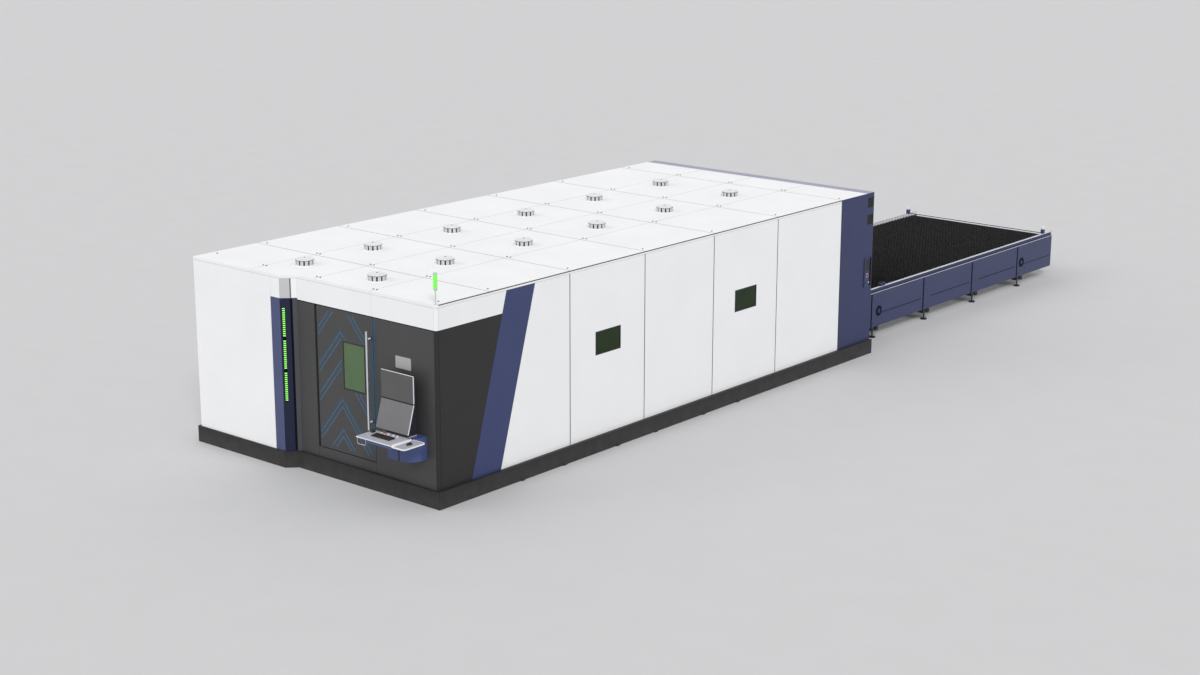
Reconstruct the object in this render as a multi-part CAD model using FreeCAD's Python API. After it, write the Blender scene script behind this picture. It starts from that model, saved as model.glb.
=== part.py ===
import FreeCAD, Part
import math
import os

Vector = FreeCAD.Vector
os.makedirs("parts", exist_ok=True)

# Enclosed sheet laser cutter with a two-level pallet changer behind it. All lengths are in millimetres.
# While it is built, x runs across the machine from the middle of the enclosure (operator's right is +),
# y runs from the front of the cabinet block towards the pallet changer, and z runs up from the floor.
# Every piece is then moved along y, so that the origin is on the floor in the middle of the footprint.

# ---- Flat sides of round pieces ----
round_sides = 16
turned_sides = 24               # the knob and the swivel spigot
thin_sides = 12                 # thin bars and foot pads

# ---- Enclosure ----
enclosure_width = 4400.0
enclosure_length = 9880.0
enclosure_height = 2600.0
door_recess = 160.0             # how far the operator's wall stands back from the cabinet block
plinth_height = 225.0
plinth_reach = 50.0             # plinth in front of the walls
block_plinth_reach = 20.0       # plinth in front of the cabinet block
plinth_sheet = 4.0
sheet = 3.0                     # folded sheet of the wall and roof panels
panel_depth = 40.0              # depth of their folded edges
seam = 4.0                      # open joint between two panels
band_height = 282.0             # white band over the operator's wall
band_joint_inset = 20.0         # joint in the band, left of the door's right edge
corner_radius = 40.0            # upright corner at the operator's right
post_size = 80.0                # square posts and beams of the frame
clip_width = 60.0               # floor clips along both sides of the plinth
clip_reach = 20.0
clip_foot = 8.0
clip_lug = 6.0
clip_height = 45.0
clip_start = 1470.0             # first clip behind the operator's wall
clip_spacing = 825.0            # the two clips of a pair
clip_pair_pitch = 1922.0
clip_pairs = 3

# ---- Laser source cabinet, behind the cabinet block ----
source_gap = 0.3                # beside the front post
source_side_gap = 60.0          # to the light column
source_front_gap = 30.0         # behind the front panel
source_length = 930.0
source_base_height = 60.0
source_base_inset = 40.0
source_height = 1890.0

# ---- Cabinet block with the light column, front left ----
block_face_right = -652.0       # right edge of its white front
block_blue_right = -479.0       # right edge of the narrow blue face, where the chamfer starts
block_cap_height = 262.0        # white strip over the light column
light_bar_height = 15.0
light_bar_pitch = 27.0
light_bar_width = 34.0
light_bar_proud = 4.0
light_bars_in_group = 14
light_group_pitch = 420.0
light_groups = 3
light_top_inset = 145.0         # uppermost light bar below the top of the blue column

# ---- Right side: slanted stripe, panels and windows ----
stripe_bottom_front = 746.0     # y of the stripe's front edge on the plinth
stripe_width = 532.0
stripe_lean = 674.0             # how far its top leans back
first_side_seam = 2625.0
side_bays = 3                   # equal panels behind the first seam
rear_bay_length = 1680.0        # last white panel before the blue end column
front_roof_seam = 1110.0
rear_column_length = 910.0
window_width = 510.0
window_bottom = 1356.0
window_height = 310.0
window_bays = [0, 2]            # bays with a window, counted from the first seam
window_offset = 525.0           # window behind the seam in front of it
window_glass = 10.0

# ---- Roof ----
roof_column_seam = 1042.0       # lengthwise roof joints at 0 and at this distance to each side
rear_beam_length = 200.0
rear_beam_height = 160.0
vent_radius = 125.0
vent_flange_radius = 152.0
vent_sides = 12
vent_flange = 6.0
vent_drum_height = 58.0
vent_cap_overhang = 12.0
vent_cap_rim = 12.0
vent_dome_rise = 24.0
vent_crown_radius = 62.0
vent_offset = 686.0             # rows of vents to each side of the middle
lamp_inset = 32.0               # pole behind the wall and inside the right side
lamp_pole_radius = 9.0
lamp_pole_height = 190.0
lamp_base_height = 10.0
lamp_collar_height = 20.0
lamp_collar_radius = 22.0
lamp_radius = 28.0
lamp_height = 205.0
lamp_chamfer = 7.0

# ---- Operator's door ----
door_left = 31.0
door_right = 1082.0
door_bottom = 371.0
door_head_gap = 12.0            # leaf below the white band
door_thickness = 40.0
door_gap = 6.0                  # open joint at the door's right edge
door_hinge_gap = 27.0           # wider open joint along the pivots
door_rim = 60.0                 # width of the leaf's folded rim
window_rim = 35.0               # rim around the window
glass_lip = 8.0                 # glass behind the edge of the window opening
door_glass = 8.0
door_window_left = 526.0
door_window_right = 922.0
door_window_bottom = 1239.0
door_window_top = 1859.0
pivot_radius = 8.0
pivot_length = 40.0
running_clearance = 0.05        # radial, of a pin in its bore
pivot_plate = 8.0
sill_top = 359.0
handle_x = 1045.0
handle_width = 30.0
handle_depth = 24.0
handle_standoff = 63.0
handle_bottom = 805.0
handle_top_inset = 173.0        # bar below the top of the leaf
handle_leg_inset = 100.0
handle_leg_radius = 8.0
handle_rounding = 9.0
pivot_floor_gap = 2.0           # leaf above the lower pivot plate and below the upper one
pivot_plate_inset = 5.0
pivot_plate_width = 54.0
pivot_bore_gap = 2.0            # bore deeper than its pin
frame_gap = 0.5                 # door frame behind the leaf
frame_depth = 60.0
frame_overlap = 17.0            # door frame behind the leaf's edges
frame_cover = 50.0              # door frame behind the neighbouring panels

# ---- Operator's console. Its x and y run from the swivel's upright axis, its z from the floor ----
swivel_inset = 500.0            # axis inside the right side
swivel_reach = 150.0            # axis in front of the operator's wall
pod_left = -120.0
pod_right = 300.0
pod_joint = 80.0
pod_front = -120.0
pod_bottom = 600.0
pod_top = 900.0
pod_radius = 200.0
spigot_radius = 35.0
spigot_depth = 30.0
spigot_floor_gap = 0.3
tray_gap = 2.0                  # tray above the pod
tray_thickness = 16.0
tray_left = -344.0
tray_right = 290.0
tray_front = -440.0
tray_back = -120.0
tray_radius = 25.0
ridge_width = 14.0
ridge_height = 14.0
shelf_width = 216.0             # mouse shelf, to the right of the ridge
shelf_front = -460.0
shelf_back = -80.0
shelf_thickness = 12.0
shelf_radius = 45.0
base_left = -180.0
base_right = 260.0
base_front = -425.0
base_back = -270.0
base_height = 40.0
housing_left = -160.0
housing_right = 190.0
housing_back = 85.0
housing_height = 682.0          # above the tray, as are the edges of the screens
housing_foot = 25.0             # foot of the slope, up from the lower screen's bottom edge
screen_left = -324.0
screen_right = 246.0
screen_thickness = 18.0
upper_screen_front = -10.0
upper_screen_bottom = 417.0
upper_screen_top = 773.0
lower_screen_top = 407.0
lower_screen_length = 381.0
lower_screen_tilt = 16.9        # degrees from upright
bezel = 7.0                     # raised edge around each screen
bezel_proud = 2.0
loop_left = -336.0
loop_right = -191.0
loop_y = -422.0
loop_drop = 84.0
loop_radius = 5.5
loop_bend = 22.0
loop_sides = 10
loop_steps = 3                  # straight pieces in each bend
keyboard_left = -195.0
keyboard_right = 120.0
keyboard_front = -326.0
keyboard_back = -220.0
keyboard_height = 18.0
keyboard_front_height = 10.8
key_rows = 4
key_columns = 9
key_gap = 4.0
key_rise = 4.0
space_key = [3, 6]              # columns that the space bar covers
mouse_x = 412.0
mouse_y = -263.0
mouse_length = 100.0
mouse_width = 60.0
mouse_height = 32.0
mouse_crown = 10.0              # highest point behind the middle
mouse_steps = 8
knob_x = -299.0
knob_y = -194.0
knob_radius = 34.0
knob_height = 26.0
knob_chamfer = 4.0
knob_gap = 1.0                  # knob above the tray
knob_stem_radius = 9.0
knob_stem_height = 8.0
knob_bore_gap = 0.5             # bore deeper than the stem
button_row = -142.0
button_places = [-185.0, -75.0, 15.0, 85.0]
button_radius = 11.0
button_height = 10.0
button_travel = 4.0
button_floor_gap = 1.0          # pressed button above its seat
bezel_wall = 4.0
bezel_height = 9.0
button_play = 0.4
estop_x = -128.0
estop_y = -160.0
estop_head_radius = 18.0
estop_head_height = 12.0
estop_stem_radius = 8.0
estop_head_gap = 0.5            # pressed head above its ring
estop_travel = 5.0

# ---- Control station on the right rear column ----
station_inset = 80.0            # from the enclosure's end
station_width = 141.0
station_bottom = 1106.0
station_top = 1571.0
station_proud = 14.0
station_slot = 40.0             # dark grip slot behind the station
station_slot_proud = 6.0
station_screen_bottom = 1350.0
station_screen_margin = 18.0
station_screen_depth = 3.0
station_estop_z = 1285.0
station_button_z = 1175.0
station_button_spacing = 60.0

# ---- Grilles of the blue end column ----
grille_size = 166.0
grille_inset = 12.0             # from the enclosure's end
grille_depth = 12.0
grille_wall = 8.0
grille_blades = 7
grille_drops = [509.0, 238.0]   # lower edge of each grille below the roof

# ---- Pallets, their tracks, the gate and the bed. These share the bed's middle line ----
pallet_length = 6200.0
pallet_gap = 550.0              # between the pallet inside and the one outside
pallet_rest_gap = 380.0         # outer pallet behind the enclosure
comb_face = 1330.0              # inner face of each comb plate, from the middle line
comb_thickness = 12.0
comb_height = 155.0
comb_slot_depth = 50.0
pallet_beam_width = 28.0
pallet_beam_height = 105.0
slat_height = 100.0
slat_thickness = 4.0
slat_play = 1.0                 # slot wider than the slat
slat_overhang = 13.0
slat_pitch = 100.0
slat_end_margin = 100.0
cross_bar_width = 60.0
cross_bar_height = 50.0
cross_bars = 7
wheel_radius = 40.0
wheel_width = 18.0
wheel_sides = 12
wheels_per_side = 4
wheel_end_margin = 300.0
wheel_rail_gap = 0.3
wheel_drop = 20.0               # pallet beams reach below the track's top by this much
upper_track = 640.0             # top of the upper ledge
lower_track = 370.0
ledge_thickness = 8.0
ledge_play = 2.0                # between a pallet beam and its ledge
ledge_width = 78.0              # inside the enclosure
table_ledge_width = 58.0        # on the changer
track_lead = 60.0               # ledges in front of the inner pallet
hanger_depth = 30.0             # brackets between the ledges and the bed
hanger_width = 80.0
hanger_inset = 50.0
hangers = 5
gate_inset = 80.0               # gate's front face, from the enclosure's end
gate_thickness = 30.0
gate_overlap = 20.0             # gate wider than the opening, on each side
gate_rest_gap = 5.0             # open gate above the opening
gate_height = 620.0
gate_clearance = 0.5
gate_side_play = 1.0
gate_beam_bottom = 2340.0       # beam over the gate and its guides
gate_track_gap = 10.0           # open ends of the ledges in front of and behind the gate
opening_bottom = 300.0
opening_top = 905.0
bed_side_gap = 90.0             # bed to the posts on the right
bed_lead = 810.0                # bed in front of the inner pallet
bed_gate_gap = 110.0
bed_beam_width = 220.0
bed_beam_bottom = 140.0
bed_beam_top = 980.0
bed_cross_height = 160.0
bed_cross_width = 200.0
bed_crosses = 5
bed_pad = 160.0
rail_width = 34.0
rail_height = 30.0
rack_width = 30.0
rack_height = 24.0
rack_gap = 12.0

# ---- Gantry, carriage and cutting head ----
gantry_start = 700.0            # beam's middle behind the bed's front end
gantry_depth = 300.0
gantry_height = 340.0
end_carriage_length = 460.0
end_carriage_width = 190.0
end_carriage_height = 120.0
rail_seat_gap = 0.3
drive_radius = 65.0
drive_height = 230.0
drive_gap = 5.0
carriage_width = 360.0
carriage_thickness = 70.0
carriage_height = 420.0
carriage_gap = 0.5
carriage_drop = 40.0            # carriage below the beam
carriage_start = -1250.0        # from the bed's middle line
beam_rail_height = 20.0
beam_rail_width = 34.0
beam_rail_inset = 60.0          # middle of each rail from the beam's edge
head_slide_width = 180.0
head_slide_thickness = 60.0
head_slide_height = 520.0
head_body_radius = 48.0
head_body_height = 230.0
nozzle_radius = 18.0
nozzle_tip_radius = 5.0
nozzle_height = 60.0
nozzle_tip_z = 900.0

# ---- Pallet changer ----
table_margin = 250.0            # changer beyond the outer pallet
table_skin = 15.0
table_skin_bottom = 180.0
table_skin_top = 740.0
first_bay_length = 740.0        # from the enclosure to the first upright joint
last_bay_length = 1275.0
post_lines = 4
post_slot = 20.0
table_post_depth = 22.0
table_post_width = 80.0
table_post_offset = 25.0
table_post_bottom = 110.0
channel_bottom = 748.0
channel_top = 830.0
channel_flange = 17.0
channel_web = 14.0
channel_width = 34.0
stop_bar_width = 14.0           # bar across the far end, behind the pallet
stop_bar_gap = 6.0
fold_height = 387.0
fold_depth = 3.0
fold_width = 8.0
fold_front_margin = 230.0
fold_back_margin = 57.0
cross_tube_radius = 40.0
cross_tube_gap = 0.3            # under the side panels
cross_tube_offset = 190.0
pad_radius = 55.0
pad_thickness = 18.0
stem_radius = 12.0
stem_sides = 6
near_sprocket_offset = 223.0    # behind the first joint
far_sprocket_offset = 165.0     # behind the last joint
sprocket_z = 430.0
sprocket_teeth = 14
sprocket_radius = 42.0
sprocket_root = 35.0
sprocket_width = 12.0
sprocket_gap = 25.0             # sprocket beside the ledge's inner edge
sprocket_shaft_radius = 16.0
chain_thickness = 12.0
chain_clearance = 0.5
chain_steps = 8                 # straight pieces round each sprocket
bearing_outer = 65.0
bearing_inner = 44.0
bearing_proud = 12.0
sensor_inset = 310.0            # posts from the changer's far end
sensor_width = 56.0
sensor_height = 80.0
sensor_cap = 50.0
clamp_offset = 1070.0           # clamp block behind the enclosure
clamp_length = 130.0
clamp_width = 56.0
clamp_height = 22.0
clamp_ear_height = 26.0
clamp_ear_length = 26.0
clamp_ear_spacing = 91.0

# ---- Values that several pieces share ----
half_width = enclosure_width / 2
wall_y = door_recess
wall_inside = wall_y + panel_depth
panel_inside = half_width - panel_depth
roof_bottom = enclosure_height - panel_depth
wall_top = roof_bottom - sheet
band_bottom = wall_top - band_height
block_blue_top = wall_top - block_cap_height
light_group_height = (light_bars_in_group - 1) * light_bar_pitch + light_bar_height
light_bars_height = (light_groups - 1) * light_group_pitch + light_group_height
light_bottom = block_blue_top - seam - light_top_inset - light_bars_height
door_top = band_bottom - door_head_gap
handle_top = door_top - handle_top_inset
grille_bottoms = [enclosure_height - drop for drop in grille_drops]
rear_column_start = enclosure_length - rear_column_length
side_bay = (rear_column_start - rear_bay_length - first_side_seam) / side_bays
side_seams = [first_side_seam + index * side_bay for index in range(side_bays + 1)]
window_starts = [side_seams[bay] + window_offset for bay in window_bays]
chamfer_right = block_blue_right + door_recess
rear_beam_start = enclosure_length - rear_beam_length
swivel = Vector(half_width - swivel_inset, wall_y - swivel_reach, 0)
tray_bottom = pod_top + tray_gap
tray_top = tray_bottom + tray_thickness
shelf_left = tray_right + ridge_width
comb_outer = comb_face + comb_thickness
ledge_inner = comb_outer + pallet_beam_width + ledge_play
opening_half_width = ledge_inner + ledge_width
ledge_table_outer = ledge_inner + table_ledge_width
table_frame_outer = ledge_table_outer + table_post_depth
table_half_width = table_frame_outer + table_skin
sprocket_inner = ledge_inner + sprocket_gap
gate_half_width = opening_half_width + gate_overlap
gate_bottom = opening_top + gate_rest_gap
gate_y = enclosure_length - gate_inset
bed_beam_inner = opening_half_width + hanger_depth
bed_beam_outer = bed_beam_inner + bed_beam_width
bed_x = panel_inside - post_size - bed_side_gap - bed_beam_outer
table_start = enclosure_length
pallet_travel = pallet_length + pallet_gap
pallet_out_start = enclosure_length + pallet_rest_gap
pallet_in_start = pallet_out_start - pallet_travel
table_end = pallet_out_start + pallet_length + table_margin
machine_track_start = pallet_in_start - track_lead
bed_beam_start = pallet_in_start - bed_lead
bed_beam_end = gate_y - bed_gate_gap
gantry_y = bed_beam_start + gantry_start
gantry_bottom = bed_beam_top + rail_height + rail_seat_gap + end_carriage_height
first_post_line = table_start + first_bay_length
last_post_line = table_end - last_bay_length
sprocket_places = [first_post_line + near_sprocket_offset, last_post_line + far_sprocket_offset]
cross_tube_z = table_skin_bottom - cross_tube_gap - cross_tube_radius
front_reach = swivel.y + shelf_front
origin_y = (front_reach + table_end) / 2


def box(x_range, y_range, z_range):
    """Box between two values on each axis."""
    corner = Vector(x_range[0], y_range[0], z_range[0])
    size = Vector(x_range[1], y_range[1], z_range[1]) - corner
    return Part.makeBox(size.x, size.y, size.z, corner)


def around(middle, width):
    """The two ends of a width about its middle."""
    return (middle - width / 2, middle + width / 2)


def mirrored(middle, near, far):
    """The same strip on both sides of a middle line, as two ranges."""
    return [(middle - far, middle - near), (middle + near, middle + far)]


def rod(start, end, radius):
    """Round bar from one point to another."""
    along = end - start
    return Part.makeCylinder(radius, along.Length, start, along)


def outline(points, rounding=None):
    """Flat face through the points, with an arc at each corner that rounding gives a radius."""
    rounding = rounding or {}
    edges = []
    ends = []
    for index, corner in enumerate(points):
        radius = rounding.get(index, 0.0)
        if not radius:
            ends.append((corner, corner))
            continue
        to_last = (points[index - 1] - corner).normalize()
        to_next = (points[(index + 1) % len(points)] - corner).normalize()
        half_turn = to_last.getAngle(to_next) / 2
        start = corner + to_last * (radius / math.tan(half_turn))
        end = corner + to_next * (radius / math.tan(half_turn))
        middle_way = (to_last + to_next).normalize()
        middle = corner + middle_way * (radius / math.sin(half_turn) - radius)
        edges.append(Part.Arc(start, middle, end).toShape())
        ends.append((start, end))
    for index, pair in enumerate(ends):
        next_start = ends[(index + 1) % len(ends)][0]
        edges.append(Part.makeLine(pair[1], next_start))
    return Part.Face(Part.Wire(Part.__sortEdges__(edges)))


def pan(face, depth):
    """Folded panel: a sheet with the outline of face, and edges folded back along depth."""
    step = Vector(depth).normalize() * sheet
    hollow = face.makeOffset2D(-sheet).extrude(depth).translated(step)
    return face.extrude(depth).cut(hollow)


def yz_points(x, pairs):
    return [Vector(x, y, z) for y, z in pairs]


def xz_points(y, pairs):
    return [Vector(x, y, z) for x, z in pairs]


def xy_points(z, pairs):
    return [Vector(x, y, z) for x, y in pairs]


def rectangle(first, second):
    """Corners of a rectangle between two values on each of two axes."""
    return [(first[0], second[0]), (first[1], second[0]), (first[1], second[1]), (first[0], second[1])]


def save(node, solids):
    """Move a piece to the row's origin and write it."""
    moved = [solid.translated(Vector(0, -origin_y, 0)) for solid in solids]
    shape = moved[0] if len(moved) == 1 else Part.makeCompound(moved)
    shape.exportStep("parts/" + node + ".step")


def save_console(node, solids):
    """Write a piece that is drawn about the console's swivel axis."""
    save(node, [solid.translated(swivel) for solid in solids])


def regular(sides, radius, z=0.0):
    """Corners of a regular polygon about the z axis, with a flat towards +x."""
    corners = []
    for index in range(sides):
        angle = 2 * math.pi * (index + 0.5) / sides
        corners.append(Vector(radius * math.cos(angle), radius * math.sin(angle), z))
    return corners


def bar(start, end, radius, sides=round_sides):
    """Bar of many flat sides from one point to another, for round pieces that are small or repeated."""
    along = end - start
    prism = outline(regular(sides, radius)).extrude(Vector(0, 0, along.Length))
    prism.Placement = FreeCAD.Placement(start, FreeCAD.Rotation(Vector(0, 0, 1), along))
    return prism


def frustum(sides, low, high, bottom, height):
    """Many-sided frustum about the z axis between two radii."""
    foot_ring = regular(sides, low, bottom)
    top_ring = regular(sides, high, bottom + height)
    faces = [outline(foot_ring), outline(top_ring)]
    for index in range(sides):
        last = index - 1
        faces.append(outline([foot_ring[last], foot_ring[index], top_ring[index], top_ring[last]]))
    solid = Part.makeSolid(Part.makeShell(faces))
    return solid if solid.Volume > 0 else solid.reversed()


def stripe_y(z, offset=0.0):
    """y of the stripe's slanted front edge at a height, plus an offset."""
    share = (z - plinth_height) / (wall_top - plinth_height)
    return stripe_bottom_front + stripe_lean * share + offset


# ---------------------------------------------------------------- enclosure

def build_plinth():
    """Folded skirts round the foot, mitred at the chamfered corner, with floor clips along both sides."""
    z_range = (0.0, plinth_height)
    flange_z = (plinth_height - plinth_sheet, plinth_height)
    rise = Vector(0, 0, plinth_height)
    solids = []
    for side, front in ((1, wall_y - plinth_reach), (-1, -block_plinth_reach)):
        outside = side * (half_width + plinth_reach)
        skin = sorted((outside, outside - side * plinth_sheet))
        flange = sorted((outside, side * panel_inside))
        skirt = box(skin, (front, enclosure_length), z_range)
        flange_y = (front + plinth_sheet, enclosure_length - plinth_sheet)
        skirt = skirt.fuse(box(flange, flange_y, flange_z)).removeSplitter()
        solids.append(skirt)
    right_end = half_width + plinth_reach - plinth_sheet - seam
    left_end = -half_width - plinth_reach + plinth_sheet + seam
    block_front = -block_plinth_reach
    wall_front = wall_y - plinth_reach
    slope = block_blue_right + block_plinth_reach * math.sqrt(2)
    inner_slope = slope - plinth_sheet * math.sqrt(2)
    inside = block_front + plinth_sheet
    plan = [
        (left_end, block_front), (slope + block_front, block_front), (slope + wall_front, wall_front),
        (inner_slope + wall_front, wall_front), (inner_slope + inside, inside), (left_end, inside),
    ]
    skirt = outline(xy_points(0, plan)).extrude(rise)
    flange = box((-panel_inside, slope + block_front), (block_front, panel_depth), flange_z)
    solids.append(skirt.fuse(flange).removeSplitter())
    skirt = box((inner_slope + wall_front, right_end), (wall_front, wall_front + plinth_sheet), z_range)
    flange = box((slope + wall_front, panel_inside), (wall_front, wall_inside), flange_z)
    solids.append(skirt.fuse(flange).removeSplitter())
    back_y = (enclosure_length - plinth_sheet, enclosure_length)
    solids.append(box((left_end, right_end), back_y, z_range))
    for pair in range(clip_pairs):
        first = wall_y + clip_start + pair * clip_pair_pitch
        for place in (first, first + clip_spacing):
            for side in (1, -1):
                solids.append(floor_clip(side, place))
    save("plinth_skirts", solids)


def floor_clip(side, place):
    """Small angle that holds the skirt to the floor."""
    outside = side * (half_width + plinth_reach)
    foot = box(sorted((outside, outside + side * clip_reach)), around(place, clip_width), (0, clip_foot))
    lug_x = sorted((outside, outside + side * clip_lug))
    lug = box(lug_x, around(place, clip_width), (clip_foot, clip_height))
    return foot.fuse(lug).removeSplitter()


def build_enclosure_frame():
    """Square posts, top rails and roof beams behind the panels, and the gate's two guides."""
    solids = []
    top = (roof_bottom - post_size, roof_bottom)
    rows = [front_roof_seam] + side_seams + [rear_column_start]
    rear_row = rear_beam_start
    for side, front in ((1, wall_inside), (-1, panel_depth)):
        x_range = sorted((side * panel_inside, side * (panel_inside - post_size)))
        for start in [front] + [row - post_size / 2 for row in rows] + [rear_row - post_size]:
            solids.append(box(x_range, (start, start + post_size), (0, top[0])))
        solids.append(box(x_range, (front, rear_row), top))
    inner = panel_inside - post_size
    for middle in [wall_inside + post_size / 2] + rows:
        solids.append(box((-inner, inner), around(middle, post_size), top))
    guide_y = (gate_y - post_size - gate_clearance, gate_y - gate_clearance)
    guide_near = opening_half_width
    guide_far = guide_near + post_size
    portal_inside = enclosure_length - panel_depth
    for x_range in mirrored(bed_x, guide_near, guide_far):
        solids.append(box(x_range, guide_y, (0, gate_beam_bottom)))
    for x_range in mirrored(bed_x, gate_half_width + gate_side_play, guide_far):
        solids.append(box(x_range, (guide_y[1], portal_inside), (plinth_height, gate_beam_bottom)))
    beam_x = (bed_x - guide_far, bed_x + guide_far)
    beam_z = (gate_beam_bottom, gate_beam_bottom + post_size)
    solids.append(box(beam_x, (guide_y[0], portal_inside), beam_z))
    save("enclosure_frame", solids)


def build_cabinet_block():
    """White front panel of the cabinet block."""
    pairs = rectangle((-half_width, block_face_right - seam), (plinth_height, wall_top))
    save("cabinet_front_panel", [pan(outline(xz_points(0, pairs)), Vector(0, panel_depth, 0))])


def chamfer_profile(z):
    """Plan of the block's chamfered corner."""
    pairs = [
        (block_face_right, 0), (block_blue_right, 0), (chamfer_right, door_recess),
        (chamfer_right, wall_inside), (block_face_right, wall_inside),
    ]
    return outline(xy_points(z, pairs))


def chamfer_column(bottom, top):
    """Hollow folded column with the chamfered plan."""
    face = chamfer_profile(bottom)
    rise = Vector(0, 0, top - bottom)
    return face.extrude(rise).cut(face.makeOffset2D(-sheet).extrude(rise))


def build_light_column():
    """Blue chamfered column and the three groups of light bars on its chamfer."""
    save("light_column", [chamfer_column(plinth_height, block_blue_top - seam)])
    middle = Vector((block_blue_right + chamfer_right) / 2, door_recess / 2, 0)
    solids = []
    for group in range(light_groups):
        for index in range(light_bars_in_group):
            z = light_bottom + group * light_group_pitch + index * light_bar_pitch
            strip = Part.makeBox(light_bar_width, light_bar_proud, light_bar_height,
                               Vector(-light_bar_width / 2, -light_bar_proud, 0))
            strip.rotate(Vector(0, 0, 0), Vector(0, 0, 1), 45)
            solids.append(strip.translated(middle + Vector(0, 0, z)))
    save("light_bars", solids)


def build_operator_wall():
    """Dark panels of the recessed front, with the rounded upright corner, and the dark side panel."""
    depth = Vector(0, panel_depth, 0)
    top = band_bottom - seam
    left_panel = rectangle((chamfer_right + seam, door_left - door_hinge_gap), (plinth_height, top))
    sill_left = door_left - door_hinge_gap + seam
    sill = rectangle((sill_left, door_right + door_gap - seam), (plinth_height, sill_top))
    corner_left = half_width - corner_radius
    right_panel = rectangle((door_right + door_gap, corner_left - seam), (plinth_height, top))
    side_start = wall_y + corner_radius + seam
    side_pairs = [
        (side_start, plinth_height), (stripe_y(plinth_height, -seam), plinth_height),
        (stripe_y(top, -seam), top), (side_start, top),
    ]
    front_panels = (left_panel, sill, right_panel)
    solids = [pan(outline(xz_points(wall_y, pairs)), depth) for pairs in front_panels]
    solids.append(rounded_corner(plinth_height, top))
    solids.append(pan(outline(yz_points(half_width, side_pairs)), Vector(-panel_depth, 0, 0)))
    save("operator_wall_panels", solids)


def rounded_corner(bottom, top):
    """Quarter-round corner profile."""
    centre = Vector(half_width - corner_radius, wall_y + corner_radius, bottom)
    return Part.makeCylinder(corner_radius, top - bottom, centre, Vector(0, 0, 1), 90).copy().rotated(
        centre, Vector(0, 0, 1), -90)


def build_band():
    """White band above the operator's wall, from the cabinet block round to the stripe."""
    depth = Vector(0, panel_depth, 0)
    joint = door_right - band_joint_inset
    corner_left = half_width - corner_radius
    solids = []
    for span in ((chamfer_right + seam, joint), (joint + seam, corner_left - seam)):
        pairs = rectangle(span, (band_bottom, wall_top))
        solids.append(pan(outline(xz_points(wall_y, pairs)), depth))
    solids.append(rounded_corner(band_bottom, wall_top))
    side_start = wall_y + corner_radius + seam
    side_pairs = [
        (side_start, band_bottom), (stripe_y(band_bottom, -seam), band_bottom),
        (stripe_y(wall_top, -seam), wall_top), (side_start, wall_top),
    ]
    solids.append(pan(outline(yz_points(half_width, side_pairs)), Vector(-panel_depth, 0, 0)))
    solids.append(chamfer_column(block_blue_top, wall_top))
    save("white_band_panels", solids)


def build_stripe():
    """Blue slanted stripe on the right side."""
    pairs = [
        (stripe_y(plinth_height), plinth_height), (stripe_y(plinth_height, stripe_width), plinth_height),
        (stripe_y(wall_top, stripe_width), wall_top), (stripe_y(wall_top), wall_top),
    ]
    save("stripe_panel", [pan(outline(yz_points(half_width, pairs)), Vector(-panel_depth, 0, 0))])


def window_opening(start, grow=0.0):
    """Box through the right wall, for a window hole or its glass."""
    x_range = (panel_inside - 1, half_width + 1)
    z_range = (window_bottom - grow, window_bottom + window_height + grow)
    return box(x_range, (start - grow, start + window_width + grow), z_range)


def build_side_panels():
    """White side panels: right side from the stripe to the blue column, left side from the front."""
    right = Vector(-panel_depth, 0, 0)
    first = [
        (stripe_y(plinth_height, stripe_width + seam), plinth_height), (side_seams[0], plinth_height),
        (side_seams[0], wall_top), (stripe_y(wall_top, stripe_width + seam), wall_top),
    ]
    solids = [pan(outline(yz_points(half_width, first)), right)]
    ends = side_seams[1:] + [rear_column_start]
    for start, end in zip(side_seams, ends):
        pairs = rectangle((start + seam, end), (plinth_height, wall_top))
        panel = pan(outline(yz_points(half_width, pairs)), right)
        for window in window_starts:
            if start < window < end:
                panel = panel.cut(window_opening(window))
        solids.append(panel)
    left_starts = [panel_depth, front_roof_seam] + side_seams
    left_ends = [front_roof_seam] + side_seams + [rear_column_start]
    for start, end in zip(left_starts, left_ends):
        pairs = rectangle((start + seam, end), (plinth_height, wall_top))
        solids.append(pan(outline(yz_points(-half_width, pairs)), Vector(panel_depth, 0, 0)))
    save("side_panels", solids)


def build_side_windows():
    """Laser-safe panes behind the window openings, one step larger than each hole."""
    solids = []
    x_range = (half_width - sheet - window_glass, half_width - sheet)
    for start in window_starts:
        z_range = (window_bottom - glass_lip, window_bottom + window_height + glass_lip)
        solids.append(box(x_range, (start - glass_lip, start + window_width + glass_lip), z_range))
    save("side_window_panes", solids)


def build_roof():
    """Roof panels in four columns; the front ones follow the cabinet block and the rounded corner."""
    depth = Vector(0, 0, -panel_depth)
    column_edges = [-half_width, -roof_column_seam, 0.0, roof_column_seam, half_width]
    row_edges = [front_roof_seam] + side_seams + [rear_column_start, rear_beam_start]
    solids = []
    for column, (left, right) in enumerate(zip(column_edges, column_edges[1:])):
        inner_left = left if column == 0 else left + seam
        front = 0.0 if column == 0 else wall_y
        pairs = rectangle((inner_left, right), (front, front_roof_seam))
        rounding = {}
        if column == 1:
            pairs = [
                (inner_left, 0), (block_blue_right, 0), (chamfer_right, wall_y), (right, wall_y),
                (right, front_roof_seam), (inner_left, front_roof_seam),
            ]
        if column == 3:
            rounding = {1: corner_radius}
        solids.append(pan(outline(xy_points(enclosure_height, pairs), rounding), depth))
        for start, end in zip(row_edges, row_edges[1:]):
            pairs = rectangle((inner_left, right), (start + seam, end))
            solids.append(pan(outline(xy_points(enclosure_height, pairs)), depth))
    save("roof_panels", solids)


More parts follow.
